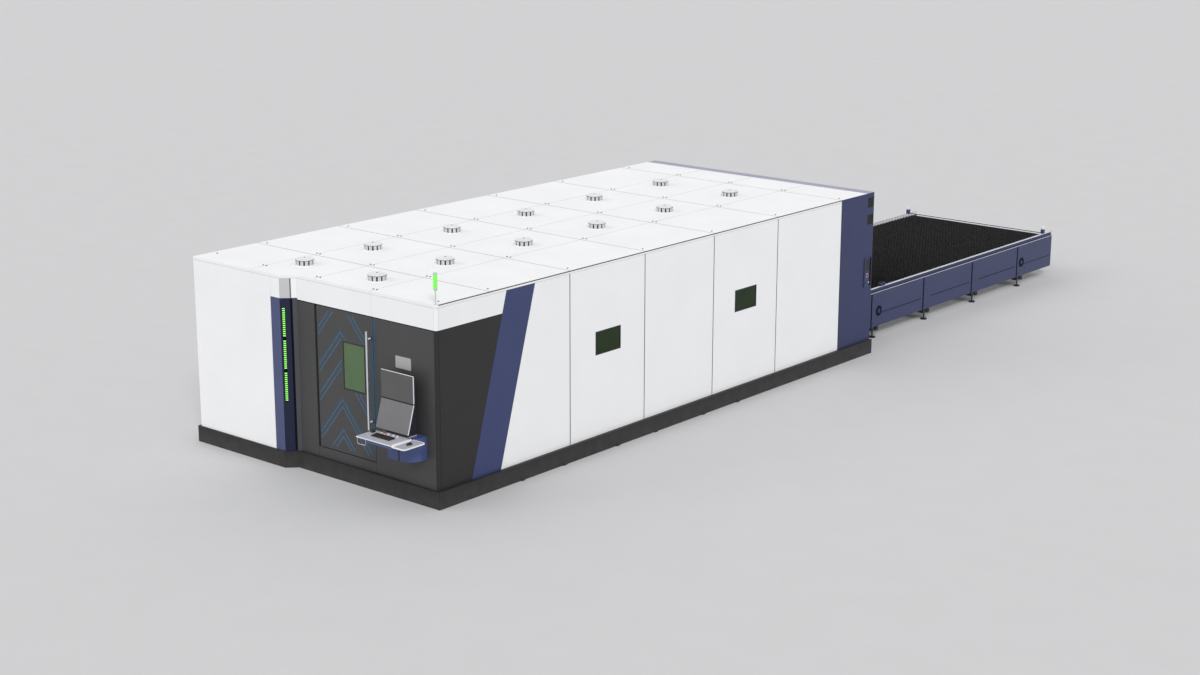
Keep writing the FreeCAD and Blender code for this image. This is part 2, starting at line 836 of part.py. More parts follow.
def vent():
    """Roof vent: many-sided drum on a flange, under a flared, domed cap."""
    drum_top = vent_flange + vent_drum_height
    rim_top = drum_top + vent_cap_rim
    cap = vent_radius + vent_cap_overhang
    body = frustum(vent_sides, vent_flange_radius, vent_flange_radius, 0, vent_flange)
    body = body.fuse(frustum(vent_sides, vent_radius, vent_radius, vent_flange, vent_drum_height))
    body = body.fuse(frustum(vent_sides, vent_radius, cap, drum_top, vent_cap_rim))
    body = body.fuse(frustum(vent_sides, cap, vent_crown_radius, rim_top, vent_dome_rise))
    return body.removeSplitter()


def build_roof_vents():
    """Two rows of vents, one pair in the middle of each row of roof panels."""
    rows = [wall_y, front_roof_seam] + side_seams + [rear_column_start]
    solids = []
    for x in (-vent_offset, vent_offset):
        for start, end in zip(rows, rows[1:]):
            solids.append(vent().translated(Vector(x, (start + end) / 2, enclosure_height)))
    save("roof_vents", solids)


def build_signal_lamp():
    """Lamp on a thin pole at the front right corner of the roof."""
    foot = Vector(half_width - lamp_inset, wall_y + lamp_inset, enclosure_height)
    up = Vector(0, 0, 1)
    pole = bar(foot, foot + up * lamp_pole_height, lamp_pole_radius, thin_sides)
    base = bar(foot, foot + up * lamp_base_height, lamp_radius)
    collar = bar(foot + up * (lamp_pole_height - lamp_collar_height), foot + up * lamp_pole_height,
                 lamp_collar_radius)
    save("lamp_pole", [pole.fuse([base, collar]).removeSplitter()])
    shoulder = lamp_height - lamp_chamfer
    lens = frustum(round_sides, lamp_radius, lamp_radius, 0, shoulder)
    crown = frustum(round_sides, lamp_radius, lamp_radius - lamp_chamfer, shoulder, lamp_chamfer)
    lens = lens.fuse(crown).removeSplitter()
    save("lamp_lens", [lens.translated(foot + up * lamp_pole_height)])


def build_rear_portal():
    """Blue end of the enclosure: side panels, rear panels round the pallet opening, and the top beam."""
    solids = []
    for side in (1, -1):
        pairs = rectangle((rear_column_start + seam, enclosure_length), (plinth_height, wall_top))
        face = outline(yz_points(side * half_width, pairs))
        panel = pan(face, Vector(-side * panel_depth, 0, 0))
        if side > 0:
            for bottom in grille_bottoms:
                hole_z = (bottom, bottom + grille_size)
                panel = panel.cut(box((panel_inside - 1, half_width + 1), grille_span(), hole_z))
        solids.append(panel)
    back = Vector(0, -panel_depth, 0)
    left_edge = bed_x - opening_half_width
    right_edge = bed_x + opening_half_width
    rear_top = enclosure_height - rear_beam_height - seam
    areas = (
        ((-panel_inside, left_edge), (plinth_height, rear_top)),
        ((right_edge, panel_inside), (plinth_height, rear_top)),
        ((left_edge + seam, right_edge - seam), (opening_top, rear_top)),
        ((left_edge + seam, right_edge - seam), (plinth_height, opening_bottom)),
    )
    for across, height in areas:
        solids.append(pan(outline(xz_points(enclosure_length, rectangle(across, height))), back))
    beam_z = (enclosure_height - rear_beam_height, enclosure_height)
    solids.append(box((-panel_inside, panel_inside), (rear_beam_start + seam, enclosure_length), beam_z))
    for side in (1, -1):
        cap_x = sorted((side * panel_inside, side * half_width))
        cap_y = (rear_beam_start + seam, enclosure_length)
        solids.append(box(cap_x, cap_y, (wall_top + sheet, enclosure_height)))
    save("rear_portal", solids)


def grille_span():
    """y range of the two square grilles on the right rear column."""
    return (enclosure_length - grille_inset - grille_size, enclosure_length - grille_inset)


def build_rear_grilles():
    """Two square louvred grilles: a dark frame with slanted blades."""
    solids = []
    x_range = (half_width - grille_depth, half_width)
    y_range = grille_span()
    inner_y = (y_range[0] + grille_wall, y_range[1] - grille_wall)
    pitch = (grille_size - 2 * grille_wall) / grille_blades
    for bottom in grille_bottoms:
        first = bottom + grille_wall
        inside = box((x_range[0] - 1, x_range[1] + 1), inner_y, (first, bottom + grille_size - grille_wall))
        grille = box(x_range, y_range, (bottom, bottom + grille_size)).cut(inside)
        for index in range(grille_blades):
            z = first + index * pitch
            pairs = [(x_range[0], z + pitch * 0.55), (x_range[0], z + pitch * 0.85),
                     (x_range[1], z + pitch * 0.35), (x_range[1], z + pitch * 0.05)]
            points = [Vector(x, inner_y[0], height) for x, height in pairs]
            grille = grille.fuse(outline(points).extrude(Vector(0, inner_y[1] - inner_y[0], 0)))
        solids.append(grille.removeSplitter())
    save("rear_grilles", solids)


# ---------------------------------------------------------------- operator's door

def pivot_axis():
    """x and y of the door's upright pivot line, inside the leaf's rounded edge."""
    return (door_left + door_thickness / 2, wall_y + door_thickness / 2)


def build_door_frame():
    """Frame behind the leaf's edges, with a plate and pin for each pivot."""
    front = wall_y + door_thickness + frame_gap
    y_range = (front, front + frame_depth)
    left = (door_left - door_hinge_gap - frame_cover, door_left + frame_overlap)
    right = (door_right - frame_overlap, door_right + door_gap + frame_cover)
    across = (left[1], right[0])
    z_range = (plinth_height, band_bottom + frame_cover)
    solids = [
        box(left, y_range, z_range),
        box(right, y_range, z_range),
        box(across, y_range, (z_range[0], door_bottom + frame_overlap)),
        box(across, y_range, (door_top - frame_overlap, z_range[1])),
    ]
    x, y = pivot_axis()
    plate_left = door_left + pivot_plate_inset
    plate_x = (plate_left, plate_left + pivot_plate_width)
    plate_y = (wall_y + pivot_plate_inset, front)
    lower = door_bottom - pivot_floor_gap
    upper = door_top + pivot_floor_gap
    for plate_z, pin_z in (((lower - pivot_plate, lower), (lower, door_bottom + pivot_length)),
                           ((upper, upper + pivot_plate), (door_top - pivot_length, upper))):
        pin = bar(Vector(x, y, pin_z[0]), Vector(x, y, pin_z[1]), pivot_radius)
        solids.append(box(plate_x, plate_y, plate_z).fuse(pin).removeSplitter())
    save("door_frame", solids)


def build_door():
    """Folded door leaf with a rounded pivot edge and bores for its pins, and its window."""
    x, y = pivot_axis()
    leaf = box((x, door_right), (wall_y, wall_y + door_thickness), (door_bottom, door_top))
    edge = Part.makeCylinder(door_thickness / 2, door_top - door_bottom, Vector(x, y, door_bottom))
    leaf = leaf.fuse(edge).removeSplitter()
    pocket_y = (wall_y + sheet, wall_y + door_thickness + 1)
    pocket_z = (door_bottom + door_rim, door_top - door_rim)
    pocket = box((x + door_rim, door_right - door_rim), pocket_y, pocket_z)
    rim_x = (door_window_left - window_rim, door_window_right + window_rim)
    rim_z = (door_window_bottom - window_rim, door_window_top + window_rim)
    leaf = leaf.cut(pocket.cut(box(rim_x, pocket_y, rim_z)))
    window_x = (door_window_left, door_window_right)
    window_z = (door_window_bottom, door_window_top)
    leaf = leaf.cut(box(window_x, (wall_y - 1, wall_y + sheet + 1), window_z))
    seat_x = (door_window_left - glass_lip, door_window_right + glass_lip)
    seat_z = (door_window_bottom - glass_lip, door_window_top + glass_lip)
    leaf = leaf.cut(box(seat_x, pocket_y, seat_z))
    bore = pivot_radius + running_clearance
    deep = pivot_length + pivot_bore_gap
    for start, end in ((door_bottom - 1, door_bottom + deep), (door_top - deep, door_top + 1)):
        leaf = leaf.cut(rod(Vector(x, y, start), Vector(x, y, end), bore))
    save("door_leaf", [leaf])
    glass_y = (wall_y + sheet, wall_y + sheet + door_glass)
    save("door_window", [box(seat_x, glass_y, seat_z)])


def build_door_handle():
    """Long bar with bevelled front edges on two round legs."""
    front = wall_y - handle_standoff - handle_depth
    back = wall_y - handle_standoff
    near, far = around(handle_x, handle_width)
    cut = handle_rounding
    pairs = [
        (near + cut, front), (far - cut, front), (far - cut / 3, front + cut / 3), (far, front + cut),
        (far, back), (near, back), (near, front + cut), (near + cut / 3, front + cut / 3),
    ]
    solids = [outline(xy_points(handle_bottom, pairs)).extrude(Vector(0, 0, handle_top - handle_bottom))]
    for z in (handle_bottom + handle_leg_inset, handle_top - handle_leg_inset):
        solids.append(bar(Vector(handle_x, back, z), Vector(handle_x, wall_y, z), handle_leg_radius, thin_sides))
    save("door_handle", solids)


# ---------------------------------------------------------------- operator's console

def build_console_pod():
    """Wall pod in two covers with an upright joint; the right one is rounded; bore for the swivel."""
    gap = seam / 2
    height = Vector(0, 0, pod_top - pod_bottom)
    left = box((pod_left, pod_joint - gap), (pod_front, swivel_reach), (pod_bottom, pod_top))
    bore = rod(Vector(0, 0, pod_top - spigot_depth), Vector(0, 0, pod_top + 1),
               spigot_radius + running_clearance)
    plan = rectangle((pod_joint + gap, pod_right), (pod_front, swivel_reach))
    right = outline(xy_points(pod_bottom, plan), {1: pod_radius}).extrude(height)
    save_console("console_pod", [left.cut(bore), right])


def build_console_tray():
    """Tray with a tongue over the pod, swivel spigot, mouse shelf, ridge and the base under its front."""
    pairs = [
        (tray_left, tray_front), (tray_right, tray_front), (tray_right, tray_back),
        (housing_right, tray_back), (housing_right, housing_back), (housing_left, housing_back),
        (housing_left, tray_back), (tray_left, tray_back),
    ]
    plate = outline(xy_points(tray_bottom, pairs), {0: tray_radius, 7: tray_radius})
    tray = plate.extrude(Vector(0, 0, tray_thickness))
    spigot = bar(Vector(0, 0, pod_top - spigot_depth + spigot_floor_gap), Vector(0, 0, tray_bottom),
                 spigot_radius, turned_sides)
    ridge = box((tray_right, shelf_left), (tray_front, tray_back), (tray_bottom, tray_top + ridge_height))
    shelf_pairs = rectangle((shelf_left, shelf_left + shelf_width), (shelf_front, shelf_back))
    shelf_face = outline(xy_points(tray_bottom, shelf_pairs), {1: shelf_radius, 2: shelf_radius})
    shelf = shelf_face.extrude(Vector(0, 0, shelf_thickness))
    save_console("console_tray", [tray.fuse([spigot, ridge, shelf]).removeSplitter()])
    base_z = (tray_bottom - base_height, tray_bottom)
    save_console("tray_base", [box((base_left, base_right), (base_front, base_back), base_z)])


def screen_direction():
    """Unit steps down along the lower screen's face, and back through its thickness."""
    tilt = math.radians(lower_screen_tilt)
    down = Vector(0, -math.sin(tilt), -math.cos(tilt))
    back = Vector(0, math.cos(tilt), -math.sin(tilt))
    return down, back


def framed_screen(corner, across, down, back):
    """Screen slab with a raised edge round its face."""
    width = Vector(across)
    height = Vector(down)
    points = [corner, corner + width, corner + width + height, corner + height]
    face = outline(points)
    slab = face.extrude(back * screen_thickness)
    recess = face.makeOffset2D(-bezel).extrude(back * bezel_proud)
    return slab.cut(recess)


def build_screens():
    """Upper screen upright, lower screen leaning out towards the operator."""
    across = Vector(screen_right - screen_left, 0, 0)
    corner = Vector(screen_left, upper_screen_front, tray_top + upper_screen_top)
    drop = Vector(0, 0, upper_screen_bottom - upper_screen_top)
    save_console("upper_screen", [framed_screen(corner, across, drop, Vector(0, 1, 0))])
    down, back = screen_direction()
    corner = Vector(screen_left, upper_screen_front, tray_top + lower_screen_top)
    save_console("lower_screen", [framed_screen(corner, across, down * lower_screen_length, back)])


def build_console_housing():
    """Blue housing that carries both screens and stands on the tray's tongue."""
    down, back = screen_direction()
    behind = Vector(0, upper_screen_front, tray_top + lower_screen_top) + back * screen_thickness
    upper_back = upper_screen_front + screen_thickness
    start = behind + down * ((behind.y - upper_back) / -down.y)
    end = behind + down * (lower_screen_length - housing_foot)
    top = tray_top + housing_height
    pairs = [
        (housing_back, tray_top), (housing_back, top), (upper_back, top),
        (start.y, start.z), (end.y, end.z), (end.y, tray_top),
    ]
    face = outline(yz_points(housing_left, pairs))
    save_console("console_housing", [face.extrude(Vector(housing_right - housing_left, 0, 0))])


def bend_points(corner, first, second):
    """Points of a round bend at a corner, between two unit directions away from it."""
    centre = corner + (first + second) * loop_bend
    points = []
    for step in range(loop_steps + 1):
        turn = math.pi / 2 * step / loop_steps
        points.append(centre - second * (loop_bend * math.cos(turn)) - first * (loop_bend * math.sin(turn)))
    return points


def mitred_ring(before, point, after):
    """Section of the bar handle on the plane that halves a bend between two unit directions."""
    middle = (before + after).normalize()
    across = Vector(0, 1, 0).cross(middle) * (1 / middle.dot(after))
    corners = regular(loop_sides, loop_radius)
    return [point + Vector(0, corner.x, 0) + across * corner.y for corner in corners]


def build_console_loop():
    """Bent bar handle under the tray's left end, with mitred straight pieces in its bends."""
    low = tray_bottom - loop_drop
    up = Vector(0, 0, 1)
    right = Vector(1, 0, 0)
    path = [Vector(loop_left, loop_y, tray_bottom)]
    path += bend_points(Vector(loop_left, loop_y, low), up, right)
    path += bend_points(Vector(loop_right, loop_y, low), -right, up)
    path.append(Vector(loop_right, loop_y, tray_bottom))
    runs = [(end - start).normalize() for start, end in zip(path, path[1:])]
    rings = [mitred_ring(*around_point) for around_point in zip(runs[:1] + runs, path, runs + runs[-1:])]
    faces = [outline(rings[0]), outline(rings[-1])]
    for ring, next_ring in zip(rings, rings[1:]):
        for index in range(loop_sides):
            faces.append(outline([ring[index - 1], ring[index], next_ring[index], next_ring[index - 1]]))
    loop = Part.makeSolid(Part.makeShell(faces))
    save_console("console_loop", [loop if loop.Volume > 0 else loop.reversed()])


def build_keyboard():
    """Wedge keyboard with raised keys, lying on the tray."""
    length = keyboard_back - keyboard_front
    pairs = [
        (keyboard_front, tray_top), (keyboard_back, tray_top),
        (keyboard_back, tray_top + keyboard_height), (keyboard_front, tray_top + keyboard_front_height),
    ]
    board = outline(yz_points(keyboard_left, pairs)).extrude(Vector(keyboard_right - keyboard_left, 0, 0))
    slope = (keyboard_height - keyboard_front_height) / length
    row_pitch = (length - key_gap) / key_rows
    column_pitch = (keyboard_right - keyboard_left - key_gap) / key_columns
    keys = []
    for row in range(key_rows):
        y = keyboard_front + key_gap + row * row_pitch
        z = tray_top + keyboard_front_height + slope * (y - keyboard_front)
        column = 0
        while column < key_columns:
            on_space = row == 0 and column == space_key[0]
            wide = space_key[1] - space_key[0] if on_space else 1
            x = keyboard_left + key_gap + column * column_pitch
            size = (wide * column_pitch - key_gap, row_pitch - key_gap)
            keys.append(Part.makeBox(size[0], size[1], key_rise, Vector(x, y, z)))
            column += wide
    save_console("keyboard", [board.fuse(keys).removeSplitter()])


def build_mouse():
    """Rounded mouse on its shelf: an arched side view, narrowed towards both ends."""
    floor = tray_bottom + shelf_thickness
    half = mouse_length / 2
    side = [Vector(mouse_x, mouse_y - half, floor)]
    for step in range(1, mouse_steps):
        share = 2 * step / mouse_steps - 1
        y = mouse_y + share * half + mouse_crown * (1 - share * share)
        side.append(Vector(mouse_x, y, floor + mouse_height * math.sqrt(1 - share * share)))
    side.append(Vector(mouse_x, mouse_y + half, floor))
    arch = outline(side).extrude(Vector(mouse_width, 0, 0)).translated(Vector(-mouse_width / 2, 0, 0))
    plan = bar(Vector(mouse_x, mouse_y, floor), Vector(mouse_x, mouse_y, floor + mouse_height), half)
    save_console("mouse", [arch.common(plan)])


def button_bezel(start, axis, radius):
    """Ring round a push button."""
    end = start + axis * bezel_height
    inner = (radius + button_play) / math.cos(math.pi / round_sides)
    return bar(start, end, inner + bezel_wall).cut(bar(start, end, inner))


def stop_button(foot, axis):
    """Red stop button: a head on a stem, with foot at the stem's end."""
    head = foot + axis * (bezel_height + estop_head_gap)
    stem = bar(foot, head, estop_stem_radius)
    return stem.fuse(bar(head, head + axis * estop_head_height, estop_head_radius)).removeSplitter()


def build_console_controls():
    """Push buttons in their rings, the red stop head on its stem, and the round knob."""
    up = Vector(0, 0, 1)
    rings = [button_bezel(Vector(x, button_row, tray_top), up, button_radius) for x in button_places]
    rings.append(button_bezel(Vector(estop_x, estop_y, tray_top), up, estop_stem_radius))
    seat = Vector(knob_x, knob_y, tray_top)
    rings.append(bar(seat, seat + up * knob_stem_height, knob_stem_radius))
    save_console("control_rings", rings)
    for index, x in enumerate(button_places):
        foot = Vector(x, button_row, tray_top + button_travel + button_floor_gap)
        button = bar(foot, foot + up * button_height, button_radius)
        save_console("console_button_%d" % (index + 1), [button])
    foot = Vector(estop_x, estop_y, tray_top + estop_travel + button_floor_gap)
    save_console("console_stop_button", [stop_button(foot, up)])
    shoulder = knob_height - knob_gap - knob_chamfer
    knob = frustum(turned_sides, knob_radius, knob_radius, 0, shoulder)
    top = frustum(turned_sides, knob_radius, knob_radius - knob_chamfer, shoulder, knob_chamfer)
    knob = knob.fuse(top).removeSplitter().translated(seat + up * knob_gap)
    bore = rod(seat, seat + up * (knob_stem_height + knob_bore_gap), knob_stem_radius + running_clearance)
    save_console("console_knob", [knob.cut(bore)])


def build_rear_station():
    """Control station on the right rear column: raised plate with a screen recess, a grip slot, rings,
    a stop button and two push buttons."""
    out = Vector(1, 0, 0)
    face = half_width + station_proud
    back = enclosure_length - station_inset
    front = back - station_width
    z_range = (station_bottom, station_top)
    station = box((half_width, face), (front, back), z_range)
    slot_x = (half_width, half_width + station_slot_proud)
    station = station.fuse(box(slot_x, (back, back + station_slot), z_range))
    screen_y = (front + station_screen_margin, back - station_screen_margin)
    screen_z = (station_screen_bottom, station_top - station_screen_margin)
    station = station.cut(box((face - station_screen_depth, face + 1), screen_y, screen_z))
    middle = (front + back) / 2
    spots = [(middle, station_estop_z, estop_stem_radius)]
    for side in (-1, 1):
        spots.append((middle + side * station_button_spacing / 2, station_button_z, button_radius))
    rings = [button_bezel(Vector(face, y, z), out, radius) for y, z, radius in spots]
    save("rear_station", [station.removeSplitter()] + rings)
    y, z, radius = spots[0]
    save("rear_stop_button", [stop_button(Vector(face + estop_travel + button_floor_gap, y, z), out)])
    for index, (y, z, radius) in enumerate(spots[1:]):
        foot = Vector(face + button_travel + button_floor_gap, y, z)
        save("rear_button_%d" % (index + 1), [bar(foot, foot + out * button_height, radius)])


# ---------------------------------------------------------------- bed, gantry and head

def build_bed():
    """Two side beams on levelling blocks, joined by cross members."""
    y_range = (bed_beam_start, bed_beam_end)
    solids = []
    for x_range in mirrored(bed_x, bed_beam_inner, bed_beam_outer):
        solids.append(box(x_range, y_range, (bed_beam_bottom, bed_beam_top)))
    step = (bed_beam_end - bed_beam_start - bed_cross_width) / (bed_crosses - 1)
    inner = (bed_x - bed_beam_inner, bed_x + bed_beam_inner)
    for index in range(bed_crosses):
        start = bed_beam_start + index * step
        cross_z = (bed_beam_bottom, bed_beam_bottom + bed_cross_height)
        solids.append(box(inner, (start, start + bed_cross_width), cross_z))
        for side in (-1, 1):
            pad_x = around(bed_x + side * (bed_beam_inner + bed_beam_width / 2), bed_pad)
            pad_y = around(start + bed_cross_width / 2, bed_pad)
            solids.append(box(pad_x, pad_y, (0, bed_beam_bottom)))
    save("bed_frame", solids)


def build_guides():
    """Linear rails and racks along both side beams."""
    solids = []
    y_range = (bed_beam_start, bed_beam_end)
    middle = bed_beam_inner + bed_beam_width / 2
    rail_near = middle - rail_width / 2
    rail_far = middle + rail_width / 2
    for near, far, height in ((rail_near, rail_far, rail_height),
                              (rail_far + rack_gap, rail_far + rack_gap + rack_width, rack_height)):
        for x_range in mirrored(bed_x, near, far):
            solids.append(box(x_range, y_range, (bed_beam_top, bed_beam_top + height)))
    save("long_rails_and_racks", solids)


def build_gantry():
    """Cross beam with its own rails, end carriages on the long rails, and the upright drive motors."""
    across = (bed_x - bed_beam_outer, bed_x + bed_beam_outer)
    y_range = around(gantry_y, gantry_depth)
    solids = [box(across, y_range, (gantry_bottom, gantry_bottom + gantry_height))]
    for z in (gantry_bottom + beam_rail_inset, gantry_bottom + gantry_height - beam_rail_inset):
        rail_y = (y_range[1], y_range[1] + beam_rail_height)
        solids.append(box(across, rail_y, around(z, beam_rail_width)))
    save("gantry_beam", solids)
    solids = []
    seat = bed_beam_top + rail_height + rail_seat_gap
    inner = bed_beam_inner + (bed_beam_width - end_carriage_width) / 2
    outer = inner + end_carriage_width
    for x_range in mirrored(bed_x, inner, outer):
        solids.append(box(x_range, around(gantry_y, end_carriage_length), (seat, gantry_bottom)))
        foot = Vector((x_range[0] + x_range[1]) / 2, y_range[0] - drive_radius - drive_gap, gantry_bottom)
        solids.append(bar(foot, foot + Vector(0, 0, drive_height), drive_radius))
    save("gantry_end_carriages", solids)


def build_head():
    """Carriage on the beam's rear side, over the pallet, and the upright slide with head and nozzle."""
    x = bed_x + carriage_start
    front = gantry_y + gantry_depth / 2 + beam_rail_height + carriage_gap
    plate_y = (front, front + carriage_thickness)
    bottom = gantry_bottom - carriage_drop
    save("cross_carriage", [box(around(x, carriage_width), plate_y, (bottom, bottom + carriage_height))])
    slide_front = plate_y[1] + carriage_gap
    slide_y = (slide_front, slide_front + head_slide_thickness)
    body_bottom = nozzle_tip_z + nozzle_height
    body_top = body_bottom + head_body_height
    slide_bottom = body_bottom + head_body_height / 2
    slide = box(around(x, head_slide_width), slide_y, (slide_bottom, slide_bottom + head_slide_height))
    centre = Vector(x, slide_y[1] + head_body_radius, 0)
    up = Vector(0, 0, 1)
    body = bar(centre + up * body_bottom, centre + up * body_top, head_body_radius)
    bracket = box(around(x, head_body_radius), (slide_y[1], centre.y), (slide_bottom, body_top))
    nozzle = frustum(round_sides, nozzle_tip_radius, nozzle_radius, nozzle_tip_z, nozzle_height)
    save("cutting_head", [slide.fuse([body, bracket, nozzle.translated(centre)]).removeSplitter()])


def build_laser_source():
    """Closed cabinet of the laser source and controls, inside the block."""
    left = -panel_inside + post_size + source_gap
    right = block_face_right - source_side_gap
    front = panel_depth + source_front_gap
    back = front + source_length
    inset = source_base_inset
    cabinet = box((left, right), (front, back), (source_base_height, source_base_height + source_height))
    base = box((left + inset, right - inset), (front + inset, back - inset), (0, source_base_height))
    save("laser_source_cabinet", [cabinet.fuse(base).removeSplitter()])


# ---------------------------------------------------------------- pallets

def comb_plate(x_start, y_start, bottom):
    """Side plate with one slot for each slat."""
    top = bottom + comb_height
    floor = top - comb_slot_depth
    slot = slat_thickness + slat_play
    pairs = [(y_start, bottom), (y_start, top)]
    for middle in slat_middles(y_start):
        pairs += [(middle - slot / 2, top), (middle - slot / 2, floor),
                  (middle + slot / 2, floor), (middle + slot / 2, top)]
    end = y_start + pallet_length
    pairs += [(end, top), (end, bottom)]
    return outline(yz_points(x_start, pairs)).extrude(Vector(comb_thickness, 0, 0))


def slat_middles(y_start):
    """y of each slat's middle plane."""
    count = int((pallet_length - 2 * slat_end_margin) / slat_pitch) + 1
    return [y_start + slat_end_margin + index * slat_pitch for index in range(count)]


def build_pallet(name, y_start, track):
    """Pallet frame with slotted side plates, beams, cross bars and wheels, and its loose slats."""
    wheel_z = track + wheel_rail_gap + wheel_radius
    wheel_corner = wheel_radius / math.cos(math.pi / wheel_sides)
    bottom = track - wheel_drop
    comb_top = bottom + comb_height
    solids = []
    for x_range in mirrored(bed_x, comb_face, comb_outer):
        solids.append(comb_plate(x_range[0], y_start, bottom))
    beam_outer = comb_outer + pallet_beam_width
    y_range = (y_start, y_start + pallet_length)
    for x_range in mirrored(bed_x, comb_outer, beam_outer):
        solids.append(box(x_range, y_range, (bottom, bottom + pallet_beam_height)))
    bar_step = (pallet_length - cross_bar_width) / (cross_bars - 1)
    for index in range(cross_bars):
        start = y_start + index * bar_step
        bar_z = (bottom, bottom + cross_bar_height)
        solids.append(box((bed_x - comb_face, bed_x + comb_face), (start, start + cross_bar_width), bar_z))
    wheel_step = (pallet_length - 2 * wheel_end_margin) / (wheels_per_side - 1)
    for side in (-1, 1):
        for index in range(wheels_per_side):
            y = y_start + wheel_end_margin + index * wheel_step
            hub = Vector(bed_x + side * beam_outer, y, wheel_z)
            solids.append(bar(hub, hub + Vector(side * wheel_width, 0, 0), wheel_corner, wheel_sides))
    save(name + "_pallet_frame", solids)
    slat_x = (bed_x - comb_outer - slat_overhang, bed_x + comb_outer + slat_overhang)
    slat_z = (comb_top - comb_slot_depth, comb_top - comb_slot_depth + slat_height)
    slats = [box(slat_x, around(middle, slat_thickness), slat_z) for middle in slat_middles(y_start)]
    save(name + "_pallet_slats", slats)


def build_tracks():
    """Two levels of ledges for the pallet wheels, open at the gate."""
    solids = []
    machine_y = (machine_track_start, gate_y - gate_track_gap)
    table_y = (gate_y + gate_thickness + gate_track_gap, table_end - table_skin)
    for track in (upper_track, lower_track):
        z_range = (track - ledge_thickness, track)
        for x_range in mirrored(bed_x, ledge_inner, opening_half_width):
            solids.append(box(x_range, machine_y, z_range))
        for x_range in mirrored(bed_x, ledge_inner, ledge_table_outer):
            solids.append(box(x_range, table_y, z_range))
    hanger_z = (lower_track - ledge_thickness, upper_track)
    first = machine_track_start + hanger_inset
    step = (bed_beam_end - hanger_inset - hanger_width - first) / (hangers - 1)
    for index in range(hangers):
        start = first + index * step
        for x_range in mirrored(bed_x, opening_half_width, bed_beam_inner):
            solids.append(box(x_range, (start, start + hanger_width), hanger_z))
    save("pallet_tracks", solids)


def build_gate():
    """Lifting gate behind the rear opening, stored open."""
    x_range = (bed_x - gate_half_width, bed_x + gate_half_width)
    y_range = (gate_y, gate_y + gate_thickness)
    save("rear_gate", [box(x_range, y_range, (gate_bottom, gate_bottom + gate_height))])


# ---------------------------------------------------------------- pallet changer

def table_lines():
    """y of the dark upright joints between the side panels."""
    pitch = (last_post_line - first_post_line) / (post_lines - 1)
    return [first_post_line + index * pitch for index in range(post_lines)]


def table_panel(side, start, end):
    """One side panel of the changer, with a pressed fold along it and holes for sprocket shafts."""
    outside = bed_x + side * table_half_width
    inside = bed_x + side * table_frame_outer
    panel = box(sorted((outside, inside)), (start, end), (table_skin_bottom, table_skin_top))
    groove_y = (start + fold_front_margin, end - fold_back_margin)
    if groove_y[1] > groove_y[0]:
        groove_x = sorted((outside, outside - side * fold_depth))
        panel = panel.cut(box(groove_x, groove_y, around(fold_height, fold_width)))
    for y in sprocket_places:
        if start < y < end:
            bore = (sprocket_shaft_radius + running_clearance) / math.cos(math.pi / round_sides)
            hole = bar(Vector(inside, y, sprocket_z), Vector(outside, y, sprocket_z), bore)
            panel = panel.cut(hole)
    return panel


def build_table_panels():
    """Blue side panels with open joints, the end plate, and the round bearing housings."""
    lines = table_lines()
    starts = [table_start] + [line + post_slot for line in lines]
    ends = lines + [table_end - table_skin]
    solids = []
    for side in (1, -1):
        for start, end in zip(starts, ends):
            solids.append(table_panel(side, start, end))
        for y in sprocket_places:
            skin = Vector(bed_x + side * table_half_width, y, sprocket_z)
            face = skin + Vector(side * bearing_proud, 0, 0)
            solids.append(bar(skin, face, bearing_outer).cut(bar(skin, face, bearing_inner)))
    end_x = (bed_x - table_half_width, bed_x + table_half_width)
    solids.append(box(end_x, (table_end - table_skin, table_end), (table_skin_bottom, table_skin_top)))
    save("changer_side_panels", solids)


def foot(x, y, height):
    """Levelling foot: pad and stem."""
    base = Vector(x, y, 0)
    pad = bar(base, base + Vector(0, 0, pad_thickness), pad_radius, thin_sides)
    stem = frustum(stem_sides, stem_radius, stem_radius, pad_thickness, height - pad_thickness)
    return pad.fuse(stem.translated(base)).removeSplitter()


def build_table_frame():
    """Posts on levelling feet, sills, square and round cross members."""
    solids = []
    inner = ledge_table_outer
    post_starts = [line + post_slot + table_post_offset for line in table_lines()]
    post_starts = [table_start] + post_starts + [table_end - table_skin - table_post_width]
    for start in post_starts:
        y_range = (start, start + table_post_width)
        on_foot = start not in (post_starts[0], post_starts[-1])
        bottom = table_post_bottom if on_foot else table_skin_bottom
        for x_range in mirrored(bed_x, inner, table_frame_outer):
            solids.append(box(x_range, y_range, (bottom, channel_bottom)))
    tube_corner = cross_tube_radius / math.cos(math.pi / round_sides)
    for line in table_lines():
        y = line + cross_tube_offset
        left = Vector(bed_x - table_half_width, y, cross_tube_z)
        solids.append(bar(left, left + Vector(2 * table_half_width, 0, 0), tube_corner))
    beam_z = (table_post_bottom, table_skin_bottom)
    for line in table_lines():
        start = line + post_slot + table_post_offset
        solids.append(box((bed_x - inner, bed_x + inner), (start, start + table_post_width), beam_z))
        for side in (-1, 1):
            x = bed_x + side * (inner + table_frame_outer) / 2
            solids.append(foot(x, start + table_post_width / 2, table_post_bottom))
    sill_z = (table_skin_top, channel_bottom)
    y_range = (table_start, table_end)
    for x_range in mirrored(bed_x, table_frame_outer, table_half_width):
        solids.append(box(x_range, y_range, sill_z))
    save("changer_frame", solids)


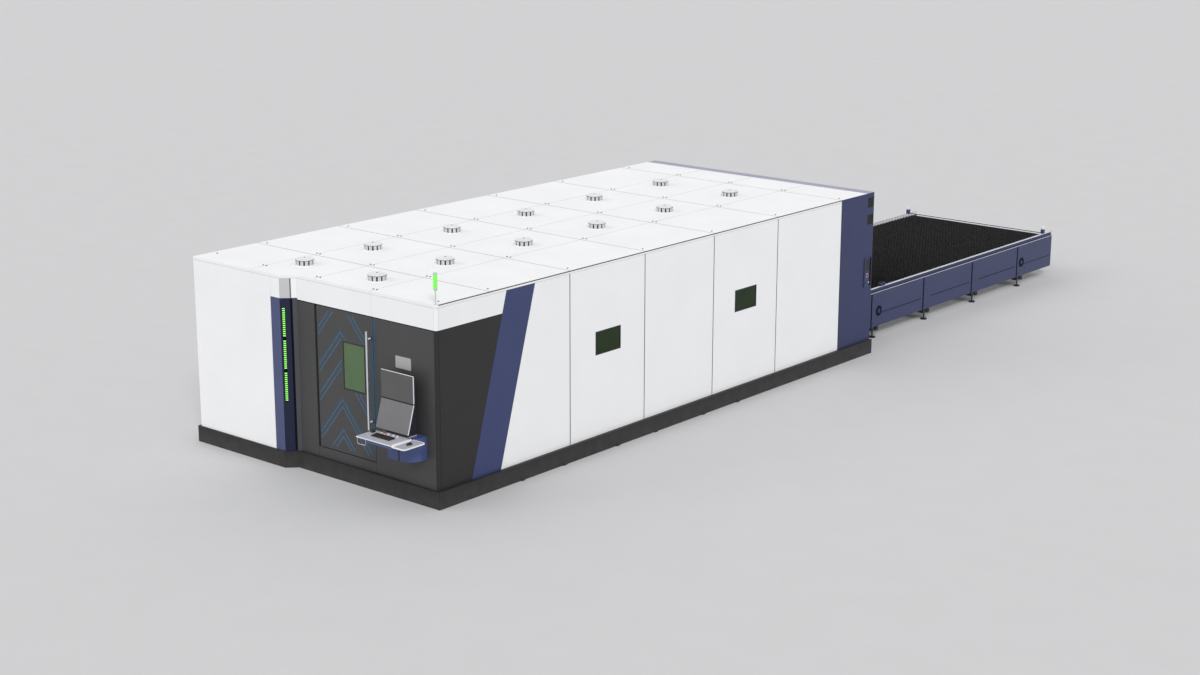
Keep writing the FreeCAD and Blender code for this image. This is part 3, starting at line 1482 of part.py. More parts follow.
def build_table_rails():
    """Channel rail along the top of each side, open outwards, and the stop bar behind the outer pallet."""
    solids = []
    y_range = (table_start, table_end)
    inner = table_half_width - channel_width
    for side in (1, -1):
        outside = bed_x + side * table_half_width
        inside = bed_x + side * inner
        channel = box(sorted((inside, outside)), y_range, (channel_bottom, channel_top))
        hollow_x = sorted((inside + side * channel_web, outside + side))
        hollow_z = (channel_bottom + channel_flange, channel_top - channel_flange)
        solids.append(channel.cut(box(hollow_x, y_range, hollow_z)))
    start = pallet_out_start + pallet_length + stop_bar_gap
    stop_z = (channel_top - stop_bar_width, channel_top)
    solids.append(box((bed_x - inner, bed_x + inner), (start, start + stop_bar_width), stop_z))
    save("changer_rails", solids)


def build_sensor_posts():
    """Capped posts near the far corners, and the clamp block near the enclosure, on the channel rails."""
    solids = []
    post_y = around(table_end - sensor_inset, sensor_width)
    for side in (1, -1):
        outside = bed_x + side * table_half_width
        post_x = sorted((outside, outside - side * sensor_width))
        neck = channel_top + sensor_height
        solids.append(box(post_x, post_y, (channel_top, neck)))
        solids.append(box(post_x, post_y, (neck, neck + sensor_cap)))
    clamp_y = table_start + clamp_offset
    clamp_x = (bed_x + table_half_width - clamp_width, bed_x + table_half_width)
    clamp_top = channel_top + clamp_height
    clamp = box(clamp_x, around(clamp_y, clamp_length), (channel_top, clamp_top))
    for side in (-1, 1):
        ear_y = around(clamp_y + side * clamp_ear_spacing / 2, clamp_ear_length)
        clamp = clamp.fuse(box(clamp_x, ear_y, (clamp_top, clamp_top + clamp_ear_height)))
    solids.append(clamp.removeSplitter())
    save("rail_blocks", solids)


def sprocket_plan(x, y):
    """Toothed outline of a chain sprocket, in a plane across x."""
    pairs = []
    for index in range(sprocket_teeth):
        for share, radius in ((0.0, sprocket_root), (0.5, sprocket_radius)):
            angle = 2 * math.pi * (index + share) / sprocket_teeth
            pairs.append((y + radius * math.cos(angle), sprocket_z + radius * math.sin(angle)))
    return outline(yz_points(x, pairs))


def build_sprockets():
    """A pair of sprockets with stub shafts at each end of the chains."""
    for name, y in zip(("near", "far"), sprocket_places):
        solids = []
        for side in (-1, 1):
            inner = bed_x + side * sprocket_inner
            wheel = sprocket_plan(inner, y).extrude(Vector(side * sprocket_width, 0, 0))
            shaft_start = Vector(inner, y, sprocket_z)
            shaft_end = Vector(bed_x + side * (table_half_width + bearing_proud / 2), y, sprocket_z)
            solids.append(wheel.fuse(rod(shaft_start, shaft_end, sprocket_shaft_radius)).removeSplitter())
        save(name + "_sprockets", solids)


def chain_outline(x, radius):
    """Closed line round both sprockets at a radius, with straight pieces round each of them."""
    start, end = sprocket_places
    pairs = []
    for middle, first_angle in ((end, math.pi / 2), (start, -math.pi / 2)):
        for step in range(chain_steps + 1):
            angle = first_angle - math.pi * step / chain_steps
            pairs.append((middle + radius * math.cos(angle), sprocket_z + radius * math.sin(angle)))
    return outline(yz_points(x, pairs))


def build_chains():
    """Closed chain loop round each pair of sprockets, as a band clear of the teeth."""
    solids = []
    inner = (sprocket_radius + chain_clearance) / math.cos(math.pi / chain_steps / 2)
    for side in (-1, 1):
        x = bed_x + side * sprocket_inner
        across = Vector(side * sprocket_width, 0, 0)
        band = chain_outline(x, inner + chain_thickness).extrude(across)
        solids.append(band.cut(chain_outline(x, inner).extrude(across)))
    save("drive_chains", solids)


build_plinth()
build_enclosure_frame()
build_cabinet_block()
build_light_column()
build_operator_wall()
build_band()
build_stripe()
build_side_panels()
build_side_windows()
build_roof()
build_roof_vents()
build_signal_lamp()
build_rear_portal()
build_rear_grilles()
build_door_frame()
build_door()
build_door_handle()
build_console_pod()
build_console_tray()
build_screens()
build_console_housing()
build_console_loop()
build_keyboard()
build_mouse()
build_console_controls()
build_rear_station()
build_bed()
build_guides()
build_gantry()
build_head()
build_laser_source()
build_pallet("upper", pallet_out_start, upper_track)
build_pallet("lower", pallet_in_start, lower_track)
build_tracks()
build_gate()
build_table_panels()
build_table_frame()
build_table_rails()
build_sensor_posts()
build_sprockets()
build_chains()
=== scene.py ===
import math

import bpy
from bpy.props import FloatProperty, FloatVectorProperty, IntProperty, PointerProperty
from mathutils import Matrix, Vector


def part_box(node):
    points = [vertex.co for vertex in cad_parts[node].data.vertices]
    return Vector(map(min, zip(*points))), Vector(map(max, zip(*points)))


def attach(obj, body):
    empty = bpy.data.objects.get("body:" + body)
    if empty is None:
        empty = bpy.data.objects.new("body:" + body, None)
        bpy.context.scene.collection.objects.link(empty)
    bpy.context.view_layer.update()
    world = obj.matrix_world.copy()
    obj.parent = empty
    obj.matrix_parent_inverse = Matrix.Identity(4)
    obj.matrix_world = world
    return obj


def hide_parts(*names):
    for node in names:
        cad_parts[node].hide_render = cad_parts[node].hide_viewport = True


bl_info = {
    "name": "Sheet Laser Cutter Dressing",
    "version": (1, 0, 0),
    "blender": (4, 5, 0),
    "location": "View3D > Sidebar > Laser Cutter",
    "description": "Finishes and fine pieces of an enclosed sheet laser cutter with a pallet changer",
    "category": "Object",
}

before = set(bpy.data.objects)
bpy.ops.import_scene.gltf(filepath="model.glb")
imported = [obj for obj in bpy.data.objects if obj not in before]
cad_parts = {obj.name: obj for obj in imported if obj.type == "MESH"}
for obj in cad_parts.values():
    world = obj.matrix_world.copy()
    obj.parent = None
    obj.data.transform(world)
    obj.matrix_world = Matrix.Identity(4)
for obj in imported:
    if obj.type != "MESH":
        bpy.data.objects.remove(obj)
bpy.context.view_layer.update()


def span(node):
    """Lowest and highest corner of a CAD node, as vectors."""
    low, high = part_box(node)
    return Vector(low), Vector(high)


X, Y, Z = range(3)
TO_X = (0, math.pi / 2, 0)          # turns a drum's axis to x
TO_Y = (math.pi / 2, 0, 0)          # turns a drum's axis to y

WALL_HIGH = span("operator_wall_panels")[1]
BLOCK_LOW = span("cabinet_front_panel")[0]
ROOF_LOW, ROOF_HIGH = span("roof_panels")
DOOR_LOW, DOOR_HIGH = span("door_leaf")
FRONT = BLOCK_LOW.y                 # front plane of the cabinet block
WALL = DOOR_LOW.y                   # outer face of the door and the wall beside it
SIDE = ROOF_HIGH.x                  # outer face of the right side
SIDE_JOINTS = (2.625, 4.180, 5.735, 7.290)                      # joints of the side panels, behind FRONT
JOINT_SHIFT = 0.002                 # from a panel's nominal edge to the middle of its joint
WALL_EDGE = WALL_HIGH.x - 0.042     # where the wall's rounded corner starts; beyond it the wall has painted shade
TRAY_STEP = 1.9885                  # where the tray's front ends and the mouse shelf starts
CHAMFER = Vector((-0.399, FRONT + 0.080, 0))                    # middle of the light column's chamfer
CHAMFER_ALONG = Vector((math.sqrt(0.5), math.sqrt(0.5), 0))     # direction across the chamfer, to the right
CHAMFER_HALF = 0.080 * math.sqrt(2) - 0.002                     # half of its width, less a margin
LIGHTS = -0.066                     # middle line of the light bars, from the chamfer's middle


def colour_property(name, description, default):
    """Colour that a user may change."""
    return FloatVectorProperty(name=name, description=description, default=default, subtype="COLOR", min=0, max=1)


def length_property(name, description, default):
    """Length that a user may change."""
    return FloatProperty(name=name, description=description, default=default, unit="LENGTH")


class CutterColours(bpy.types.PropertyGroup):
    """Paint and plastic colours."""
    white: colour_property("White paint", "Roof, sides, cabinet and band", (0.90, 0.905, 0.915))
    blue: colour_property("Blue paint", "Rear station, gate and changer", (0.036, 0.046, 0.125))
    # the navy also serves as painted shade on the light column's chamfer and on the bar between the screens
    navy: colour_property("Navy paint", "Chamfer of the light column and bolts", (0.010, 0.013, 0.042))
    dark: colour_property("Dark paint", "Operator's wall and door", (0.051, 0.051, 0.053))
    plinth: colour_property("Plinth paint", "Skirts round the foot", (0.016, 0.016, 0.017))
    machine: colour_property("Machine paint", "Bed, gantry and frames inside", (0.22, 0.24, 0.27))
    line: colour_property("Bright lines", "Bright stripes on the door", (0.040, 0.225, 0.460))
    dim_line: colour_property("Dim lines", "Dim stripes on the door", (0.030, 0.105, 0.185))
    floor: colour_property("Floor", "Studio floor", (0.62, 0.62, 0.63))


class CutterSizes(bpy.types.PropertyGroup):
    """Sizes of the fine pieces."""
    vent_ribs: IntProperty(name="Vent ribs", description="Upright ribs round each roof vent", default=12, min=8)
    tooth_pitch: length_property("Tooth pitch", "Distance between the points of a slat", 0.058)
    tooth_depth: length_property("Tooth depth", "Depth of the notches in a slat", 0.022)
    line_width: length_property("Line width", "Width of the stripes on the door", 0.0060)
    seal_width: length_property("Window seal", "Width of the seals round the side windows", 0.018)
    side_joint: length_property("Side joint", "Width of the joint seals between side panels", 0.014)
    roof_joint: length_property("Roof joint", "Width of the joint seals between roof panels", 0.012)
    key_gap: length_property("Key gap", "Gap between keys", 0.0025)


# ------------------------------------------------------------------ modelling helpers

def only(obj):
    """Back to object mode, with one object selected and active, or none."""
    if bpy.context.object and bpy.context.object.mode != "OBJECT":
        bpy.ops.object.mode_set(mode="OBJECT")
    bpy.ops.object.select_all(action="DESELECT")
    if obj:
        obj.select_set(True)
        bpy.context.view_layer.objects.active = obj


def named(name):
    """Name the active object and its mesh."""
    obj = bpy.context.object
    obj.name = name
    obj.data.name = name
    return obj


def stretched(size):
    """Stretch the object that was just added, in its mesh."""
    obj = bpy.context.object
    obj.scale = size
    bpy.ops.object.transform_apply(location=False, rotation=False, scale=True)
    return obj


def block(low, high):
    """Box between two corners."""
    low, high = Vector(low), Vector(high)
    only(None)
    bpy.ops.mesh.primitive_cube_add(size=1, location=(low + high) / 2)
    return stretched(high - low)


def drum(centre, radius, depth, sides=32, turn=(0, 0, 0)):
    """Cylinder about its middle point."""
    only(None)
    bpy.ops.mesh.primitive_cylinder_add(vertices=sides, radius=radius, depth=depth, location=centre, rotation=turn)
    return bpy.context.object


def choose(obj, kind, test):
    """Enter edit mode with the points, edges or faces selected whose middle and direction pass the test."""
    only(obj)
    mesh = obj.data
    for parts in (mesh.vertices, mesh.edges, mesh.polygons):
        parts.foreach_set("select", [False] * len(parts))
    bpy.context.tool_settings.mesh_select_mode = [kind == mode for mode in ("VERT", "EDGE", "FACE")]
    if kind == "FACE":
        for face in mesh.polygons:
            face.select = bool(test(face.center, face.normal))
    elif kind == "EDGE":
        for edge in mesh.edges:
            first, last = (mesh.vertices[index].co for index in edge.vertices)
            edge.select = bool(test((first + last) / 2, (last - first).normalized()))
    else:
        for vertex in mesh.vertices:
            vertex.select = bool(test(vertex.co, vertex.normal))
    bpy.ops.object.mode_set(mode="EDIT")


def leave_edit():
    """Back to object mode, with the edited mesh in place."""
    bpy.ops.object.mode_set(mode="OBJECT")


def anywhere(middle, direction):
    """Test that every part passes."""
    return True


def along(axis):
    """Test for edges that run along an axis."""
    return lambda middle, direction: abs(direction[axis]) > 0.9


def above(level):
    """Test for parts above a level of their own piece."""
    return lambda middle, direction: middle.z > level


def facing(axis, sign=0):
    """Test for faces that look up an axis (1), down it (-1) or both ways (0)."""
    return lambda middle, normal: (normal[axis] * sign if sign else abs(normal[axis])) > 0.9


def bevel_edges(obj, width, segments=2, test=anywhere):
    """Round the edges that pass the test."""
    choose(obj, "EDGE", test)
    bpy.ops.mesh.bevel(offset=width, segments=segments, affect="EDGES")
    leave_edit()
    return obj


def inset_faces(obj, test, thickness, depth):
    """Inset the faces that pass the test and push them in or out."""
    choose(obj, "FACE", test)
    bpy.ops.mesh.inset(thickness=thickness, depth=depth)
    leave_edit()
    return obj


def ring(obj, axis, width):
    """Open a plate along an axis, so that a ring of this width is left of it."""
    choose(obj, "FACE", facing(axis))
    bpy.ops.mesh.inset(thickness=width)
    bpy.ops.mesh.bridge_edge_loops()
    leave_edit()
    return obj


def bead(low, high, width=0.0003):
    """Thin strip between two corners, with its long edges broken."""
    size = Vector(high) - Vector(low)
    return bevel_edges(block(low, high), width, 1, along(max(range(3), key=lambda index: size[index])))


def bead_on(plane, away, proud, near, far, sink=0.0):
    """Bead that stands proud of a plane across x and sinks into it, between two (y, z) corners."""
    left, right = sorted((plane - away * sink, plane + away * proud))
    return bead((left, *near), (right, *far))


def copies_at(obj, offsets):
    """Copies with a mesh of their own, one for each offset. The pattern itself goes."""
    twins = []
    for offset in offsets:
        twin = obj.copy()
        twin.data = obj.data.copy()
        bpy.context.collection.objects.link(twin)
        twin.location = twin.location + Vector(offset)
        twins.append(twin)
    bpy.data.objects.remove(obj)
    return twins


def merge(pieces):
    """Join objects into one, with its place in its mesh."""
    only(pieces[0])
    for piece in pieces:
        piece.select_set(True)
    if len(pieces) > 1:
        bpy.ops.object.join()
    bpy.ops.object.transform_apply(location=True, rotation=True, scale=True)
    return bpy.context.object


def fit(pieces, name, key, body="machine", angle=35, node=None):
    """Join pieces into a finished one, which rides on its body and may stand in for a CAD node."""
    merge(pieces)
    obj = named(name)
    choose(obj, "FACE", anywhere)
    bpy.ops.mesh.select_all(action="SELECT")
    bpy.ops.mesh.remove_doubles(threshold=0.00002)
    bpy.ops.mesh.normals_make_consistent(inside=False)
    leave_edit()
    only(obj)
    bpy.ops.object.shade_smooth_by_angle(angle=math.radians(angle))
    obj.data.materials.clear()
    obj.data.materials.append(FINISH[key])
    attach(obj, body)
    if node:
        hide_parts(node)


# ------------------------------------------------------------------ shared effects

def add_nodes(tree, table):
    """Nodes by name, from a table of their kind or shared effect, the values of their inputs and their settings."""
    nodes = {}
    for name, (kind, values, *settings) in table.items():
        if kind in bpy.data.node_groups:
            node = tree.nodes.new("ShaderNodeGroup")
            node.node_tree = bpy.data.node_groups[kind]
        else:
            node = tree.nodes.new("ShaderNode" + kind)
        node.name = name
        for setting, value in settings:
            setattr(node, setting, value)
        for key, value in values.items():
            node.inputs[key].default_value = value
        nodes[name] = node
    return nodes


def wire(tree, nodes, links):
    """Join sockets: node.output > node.input, where a socket goes by its name or its number."""
    for link in links:
        ends = [end.split(".") for end in link.split(" > ")]
        (source, outlet), (target, inlet) = ((name, int(key) if key.isdigit() else key) for name, key in ends)
        tree.links.new(nodes[source].outputs[outlet], nodes[target].inputs[inlet])


def effect(name, inputs, outputs, table, links):
    """Shader group with named inputs and outputs, from a table of its nodes and their links."""
    tree = bpy.data.node_groups.new(name, "ShaderNodeTree")
    for label, kind, value in inputs:
        socket = tree.interface.new_socket(label, in_out="INPUT", socket_type="NodeSocket" + kind)
        socket.default_value = value
    for label, kind in outputs:
        tree.interface.new_socket(label, in_out="OUTPUT", socket_type="NodeSocket" + kind)
    nodes = {"in": tree.nodes.new("NodeGroupInput"), "out": tree.nodes.new("NodeGroupOutput")}
    nodes.update(add_nodes(tree, {"place": ("TexCoord", {}), **table}))
    wire(tree, nodes, links)


MULTIPLY = ("operation", "MULTIPLY")
RELIEF = (("Height", "Float"), ("Roughness", "Float"))


def build_effects():
    """The effects that the materials share."""
    # slow, faint change of a colour over a surface, as sprayed paint has
    effect("paint_mottle", (("Colour", "Color", (1, 1, 1, 1)), ("Scale", "Float", 1.5), ("Amount", "Float", 0.06)),
           (("Colour", "Color"),),
           {"noise": ("TexNoise", {"Detail": 4}),
            "range": ("MapRange", {"From Min": 0.3, "From Max": 0.7}),
            "less": ("Math", {0: 1.0}, ("operation", "SUBTRACT")),
            "mix": ("Mix", {"Factor": 1.0}, ("data_type", "RGBA"), ("blend_type", "MULTIPLY"))},
           ("place.Object > noise.Vector", "in.Scale > noise.Scale", "noise.Fac > range.Value",
            "in.Amount > less.1", "less.0 > range.To Min", "in.Colour > mix.A", "range.Result > mix.B",
            "mix.Result > out.Colour"))
    # fine pebbled height of powder coat or moulded plastic
    effect("fine_grain", (("Scale", "Float", 500.0), ("Roughness", "Float", 0.45)), RELIEF,
           {"fine": ("TexNoise", {"Detail": 2}), "broad": ("TexNoise", {"Scale": 2.2}),
            "spread": ("MapRange", {"To Min": -0.06, "To Max": 0.06}), "add": ("Math", {})},
           ("place.Object > fine.Vector", "place.Object > broad.Vector", "in.Scale > fine.Scale",
            "broad.Fac > spread.Value", "spread.Result > add.0", "in.Roughness > add.1", "fine.Fac > out.Height",
            "add.0 > out.Roughness"))
    # light dust that gathers low down, near the floor
    effect("floor_dust", (("Colour", "Color", (1, 1, 1, 1)), ("Dust", "Color", (0.32, 0.31, 0.30, 1)),
                          ("Height", "Float", 0.35), ("Amount", "Float", 0.35)), (("Colour", "Color"),),
           {"split": ("SeparateXYZ", {}), "fade": ("MapRange", {"From Min": 0.0, "To Max": 0.0}),
            "noise": ("TexNoise", {"Scale": 7.0, "Detail": 6}), "times": ("Math", {}, MULTIPLY),
            "mix": ("Mix", {}, ("data_type", "RGBA"))},
           ("place.Object > split.0", "place.Object > noise.Vector", "split.Z > fade.Value",
            "in.Height > fade.From Max", "in.Amount > fade.To Min", "fade.Result > times.0", "noise.Fac > times.1",
            "times.0 > mix.Factor", "in.Colour > mix.A", "in.Dust > mix.B", "mix.Result > out.Colour"))
    # fine streaks along one axis, as brushed or drawn metal has
    effect("brushed_streaks", (("Stretch", "Vector", (1, 120, 120)), ("Roughness", "Float", 0.3)), RELIEF,
           {"times": ("VectorMath", {}, MULTIPLY),
            "noise": ("TexNoise", {"Scale": 6.0, "Detail": 5}),
            "spread": ("MapRange", {"To Min": -0.10, "To Max": 0.12}), "add": ("Math", {})},
           ("place.Object > times.0", "in.Stretch > times.1", "times.0 > noise.Vector", "noise.Fac > spread.Value",
            "spread.Result > add.0", "in.Roughness > add.1", "noise.Fac > out.Height", "add.0 > out.Roughness"))
    # mask that is 1 beyond an edge, along a direction
    effect("beyond_edge", (("Direction", "Vector", (1, 0, 0)), ("Edge", "Float", 0.0)), (("Mask", "Float"),),
           {"dot": ("VectorMath", {}, ("operation", "DOT_PRODUCT")),
            "beyond": ("Math", {}, ("operation", "GREATER_THAN"))},
           ("place.Object > dot.0", "in.Direction > dot.1", "dot.Value > beyond.0", "in.Edge > beyond.1",
            "beyond.0 > out.Mask"))


# ------------------------------------------------------------------ materials

def material(name, table, links, bump, shading):
    """Material from a table of the nodes that feed its Principled shader and its bump."""
    made = bpy.data.materials.new(name)
    made.use_nodes = True
    strength, distance = bump
    nodes = add_nodes(made.node_tree, {**table, "bump": ("Bump", {"Strength": strength, "Distance": distance})})
    nodes["shader"] = made.node_tree.nodes["Principled BSDF"]
    for key, value in shading.items():
        nodes["shader"].inputs[key].default_value = value
    wire(made.node_tree, nodes, ["bump.Normal > shader.Normal", *links])
    return made


def surface(name, tone, relief, bump, shading, dusty=0.0, beyond=None):
    """Mottled tone and a relief; near the floor dust, and beyond an edge another colour, if given."""
    table = {"tone": ("paint_mottle", tone), "relief": relief}
    links = ["relief.Roughness > shader.Roughness", "relief.Height > bump.Height"]
    if beyond:
        direction, edge, second = beyond
        table["mask"] = ("beyond_edge", {"Direction": direction, "Edge": edge})
        table["mix"] = ("Mix", {}, ("data_type", "RGBA"))
        links += ["mask.Mask > mix.Factor", "mix.Result > tone.Colour"]
    if dusty:
        table["dust"] = ("floor_dust", {"Amount": dusty})
        links += ["tone.Colour > dust.Colour", "dust.Colour > shader.Base Color"]
    else:
        links.append("tone.Colour > shader.Base Color")
    made = material(name, table, links, bump, shading)
    if beyond:
        mix = made.node_tree.nodes["mix"]
        mix.inputs["A"].default_value, mix.inputs["B"].default_value = tone["Colour"], (*second, 1)
    return made


def painted(name, colour, roughness=0.42, grain=420.0, bump=0.08, dusty=0.0, mottle=0.05, gloss=0.5, beyond=None):
    """Powder coat with a faint mottle and a fine grain."""
    return surface(name, {"Colour": (*colour, 1), "Amount": mottle},
                   ("fine_grain", {"Scale": grain, "Roughness": roughness}), (bump, 0.0006),
                   {"Specular IOR Level": gloss}, dusty, beyond)


def metal(name, colour, stretch, roughness):
    """Bare metal with fine streaks across the given stretch."""
    return surface(name, {"Colour": (*colour, 1), "Amount": 0.12, "Scale": 9.0},
                   ("brushed_streaks", {"Stretch": stretch, "Roughness": roughness}), (0.05, 0.0004),
                   {"Metallic": 1.0})


def moulded(name, colour, roughness=0.45, grain=900.0):
    """Moulded plastic or rubber with a fine grain."""
    return painted(name, colour, roughness, grain, 0.12, mottle=0.08)


def lit(name, colour, glow, strength):
    """Plastic that is lit from behind."""
    made = moulded(name, colour, 0.3)
    shader = made.node_tree.nodes["Principled BSDF"]
    shader.inputs["Emission Color"].default_value = (*glow, 1)
    shader.inputs["Emission Strength"].default_value = strength
    return made


def pane(name, colour, roughness, change, gloss=0.5, coat=0.3):
    """Tinted pane with a faint change of tone; it is seen as a gloss over its colour."""
    return surface(name, {"Colour": (*colour, 1), "Scale": 2.6, "Amount": change},
                   ("fine_grain", {"Scale": 60.0, "Roughness": roughness + 0.06}), (0.01, 0.0002),
                   {"Specular IOR Level": gloss, "Coat Weight": coat, "Coat Roughness": 0.03})


def sooty(name):
    """Mill scale on cut slats: near black, with paler patches."""
    made = material(name, {"place": ("TexCoord", {}), "noise": ("TexNoise", {"Scale": 26.0, "Detail": 7}),
                           "ramp": ("ValToRGB", {})},
                    ("place.Object > noise.Vector", "noise.Fac > ramp.Fac", "ramp.Color > shader.Base Color",
                     "noise.Fac > bump.Height"),
                    (0.3, 0.002), {"Metallic": 0.2, "Roughness": 0.68, "Specular IOR Level": 0.35})
    dark, pale = made.node_tree.nodes["ramp"].color_ramp.elements
    dark.position, dark.color = 0.35, (0.012, 0.012, 0.013, 1)
    pale.position, pale.color = 0.75, (0.042, 0.040, 0.039, 1)
    return made


def build_finishes(colours):
    """Every material of the machine, by a short name."""
    across, up = (1, 0, 0), (0, 0, 1)
    smooth = {"mottle": 0.10, "gloss": 0.4}
    textured = {"roughness": 0.50, "grain": 260.0, "bump": 0.20, "mottle": 0.12}
    return {
        "white": painted("white_powder_coat", colours.white, mottle=0.03, gloss=0.4),
        "roof": painted("roof_powder_coat", colours.white, 0.60, mottle=0.04, gloss=0.15),
        # grey: painted shade of the white cap on the column's chamfer
        "cap_grey": painted("column_cap_painted_shade", (0.56, 0.56, 0.57)),
        "blue": painted("blue_powder_coat", colours.blue, dusty=0.06, **smooth),
        "stripe": painted("stripe_powder_coat", (0.035, 0.050, 0.148), **smooth),
        # paler than the other blues: the column's blue with a painted sheen standing in for a reflection on its face
        "column": painted("column_blue_painted_sheen", (0.066, 0.080, 0.185), **smooth),
        # brighter than the other blues: partly the pod's own bluer tone, partly painted light that offsets the tray's
        # shade on it
        "pod": painted("pod_blue_with_painted_light", (0.066, 0.094, 0.245), **smooth),
        # above the roof the beam's top turns lavender grey: a painted sheen on the glossy blue top
        "portal": painted("portal_coat_painted_top_sheen", (0.029, 0.038, 0.114), mottle=0.10, gloss=0.35,
                          beyond=(up, ROOF_HIGH.z - 0.001, (0.30, 0.30, 0.42))),
        # navy: the bolts' own colour, and painted shade on the column's chamfer and the screen hinge bar
        "navy": painted("navy_coat_and_painted_shade", colours.navy, 0.45, mottle=0.10, gloss=0.3),
        # near black: the changer's joints, the light channel and the portal seals, and painted shadow under the white
        # band, beside the column's face, in the rear station's recess and in the changer's fold grooves
        "deep": painted("deep_navy_and_painted_shadow", (0.004, 0.005, 0.014), 0.75, mottle=0.10, gloss=0.08),
        "return": painted("column_return_coat", (0.072, 0.072, 0.074), gloss=0.3, **textured),
        "cap_shade": painted("cap_shade_coat", (0.16, 0.16, 0.165), 0.6, gloss=0.2),
        # near black: painted shade on the blue console housing
        "housing": painted("housing_painted_shade", (0.026, 0.027, 0.036), 0.5, mottle=0.10, gloss=0.3),
        "dark": painted("dark_textured_coat", colours.dark, **textured),
        # beyond WALL_EDGE the wall turns near black: painted shade on its rounded corner
        "wall": painted("wall_coat_painted_corner_shade", colours.dark, **textured,
                        beyond=(across, WALL_EDGE, (0.010, 0.010, 0.011))),
        "plinth": painted("plinth_coat", colours.plinth, 0.55, 260.0, 0.22, dusty=0.16, gloss=0.3),
        "machine": painted("machine_paint", colours.machine, 0.40, dusty=0.15),
        "steel": metal("brushed_steel", (0.86, 0.87, 0.89), (120, 120, 1.5), 0.30),
        "rail": metal("rail_steel", (0.66, 0.67, 0.69), (120, 1.5, 120), 0.30),
        "edge": painted("bright_edge", (0.82, 0.82, 0.86), 0.35, mottle=0.10),
        "vent": metal("spun_aluminium", (0.92, 0.93, 0.94), (60, 60, 60), 0.24),
        "louvre": moulded("vent_louvres", (0.020, 0.020, 0.022), 0.6),
        "ring": metal("turned_rings", (0.60, 0.61, 0.63), (90, 90, 90), 0.22),
        # dark metal of the sprockets, also painted shadow under the vent caps
        "bezel_and_shadow": metal("dark_bezels_and_painted_shadow", (0.16, 0.17, 0.22), (90, 90, 90), 0.35),
        "drawn": metal("drawn_steel_bar", (0.52, 0.53, 0.55), (1.5, 120, 120), 0.34),
        "rib": metal("vent_ribs", (0.74, 0.75, 0.77), (60, 60, 1.5), 0.26),
        "slat": sooty("sooty_slats"),
        "black": moulded("black_plastic", (0.014, 0.014, 0.015)),
        "rubber": moulded("black_rubber", (0.014, 0.014, 0.014), 0.7, 500.0),
        "joint": moulded("joint_seal", (0.060, 0.060, 0.062), 0.7, 500.0),
        "roof_joint": moulded("roof_joint_seal", (0.34, 0.34, 0.35), 0.7, 500.0),
        "bolt": moulded("bolt_heads", (0.11, 0.11, 0.115), 0.5, 700.0),
        "tray": painted("tray_coat", (0.48, 0.48, 0.53), 0.42, 600.0, 0.10, mottle=0.06,
                        beyond=(across, TRAY_STEP, (0.88, 0.88, 0.90))),
        "grey": moulded("pale_grey_plastic", (0.52, 0.53, 0.55), 0.42),
        "mat": moulded("mouse_mat", (0.40, 0.40, 0.45), 0.7, 1200.0),
        "red": moulded("red_plastic", (0.60, 0.014, 0.010), 0.28),
        "green": moulded("green_plastic", (0.02, 0.26, 0.05), 0.28),
        "ivory": moulded("white_plastic", (0.84, 0.85, 0.87), 0.30),
        "bars": lit("light_bars_lit", (0.20, 0.62, 0.12), (0.26, 0.86, 0.12), 0.95),
        "lamp": lit("lamp_lens_lit", (0.14, 0.62, 0.08), (0.16, 0.90, 0.06), 0.55),
        "door_pane": pane("door_window_pane", (0.070, 0.140, 0.052), 0.06, 0.16),
        "side_pane": pane("side_window_pane", (0.016, 0.034, 0.010), 0.05, 0.35, 0.18, 0.0),
        "screen": pane("screen_face", (0.094, 0.094, 0.096), 0.30, 0.10, 0.4, 0.0),
        # paler than the upper face: a painted reflection of the sky on the tilted lower screen
        "screen_low": pane("lower_screen_face", (0.166, 0.166, 0.172), 0.30, 0.10, 0.4, 0.0),
        "touch": pane("touch_panel_face", (0.020, 0.021, 0.024), 0.20, 0.15, 0.3, 0.0),
        "line": painted("bright_door_stripe", colours.line, 0.40, gloss=0.3),
        "dim_line": painted("dim_door_stripe", colours.dim_line, 0.40, gloss=0.3),
        "plate": painted("bare_sign_plate", (0.42, 0.42, 0.41), 0.45, 700.0, 0.05, mottle=0.06),
    }


FINISH = {}

NODE_FINISHES = {
    "plinth": "plinth_skirts", "column": "light_column", "bars": "light_bars", "wall": "operator_wall_panels",
    "white": "cabinet_front_panel white_band_panels side_panels laser_source_cabinet",
    "stripe": "stripe_panel", "side_pane": "side_window_panes", "roof": "roof_panels", "vent": "roof_vents",
    "steel": "lamp_pole door_handle cutting_head", "lamp": "lamp_lens", "portal": "rear_portal",
    "black": "rear_grilles door_frame keyboard mouse console_knob changer_frame",
    "dark": "door_leaf", "door_pane": "door_window", "pod": "console_pod tray_base", "tray": "console_tray",
    "screen": "upper_screen", "screen_low": "lower_screen", "housing": "console_housing",
    "drawn": "console_loop", "edge": "control_rings", "green": "console_button_1 rear_button_1",
    "ivory": "console_button_2 console_button_3 console_button_4 rear_button_2",
    "red": "console_stop_button rear_stop_button",
    "blue": "rear_station rear_gate changer_side_panels changer_rails rail_blocks",
    "machine": "enclosure_frame bed_frame gantry_beam gantry_end_carriages cross_carriage upper_pallet_frame "
               "lower_pallet_frame pallet_tracks",
    "rail": "long_rails_and_racks", "slat": "upper_pallet_slats lower_pallet_slats",
    "bezel_and_shadow": "near_sprockets far_sprockets", "ring": "drive_chains",
}


class CUTTER_OT_paint(bpy.types.Operator):
    """Give every CAD node its finish"""
    bl_idname = "cutter.paint"
    bl_label = "Paint the machine"

    def execute(self, context):
        build_effects()
        FINISH.update(build_finishes(context.scene.cutter_colours))
        for key, nodes in NODE_FINISHES.items():
            for node in nodes.split():
                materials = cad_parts[node].data.materials
                if not materials:
                    materials.append(FINISH[key])
                for index in range(len(materials)):
                    materials[index] = FINISH[key]
        return {"FINISHED"}


# ------------------------------------------------------------------ enclosure

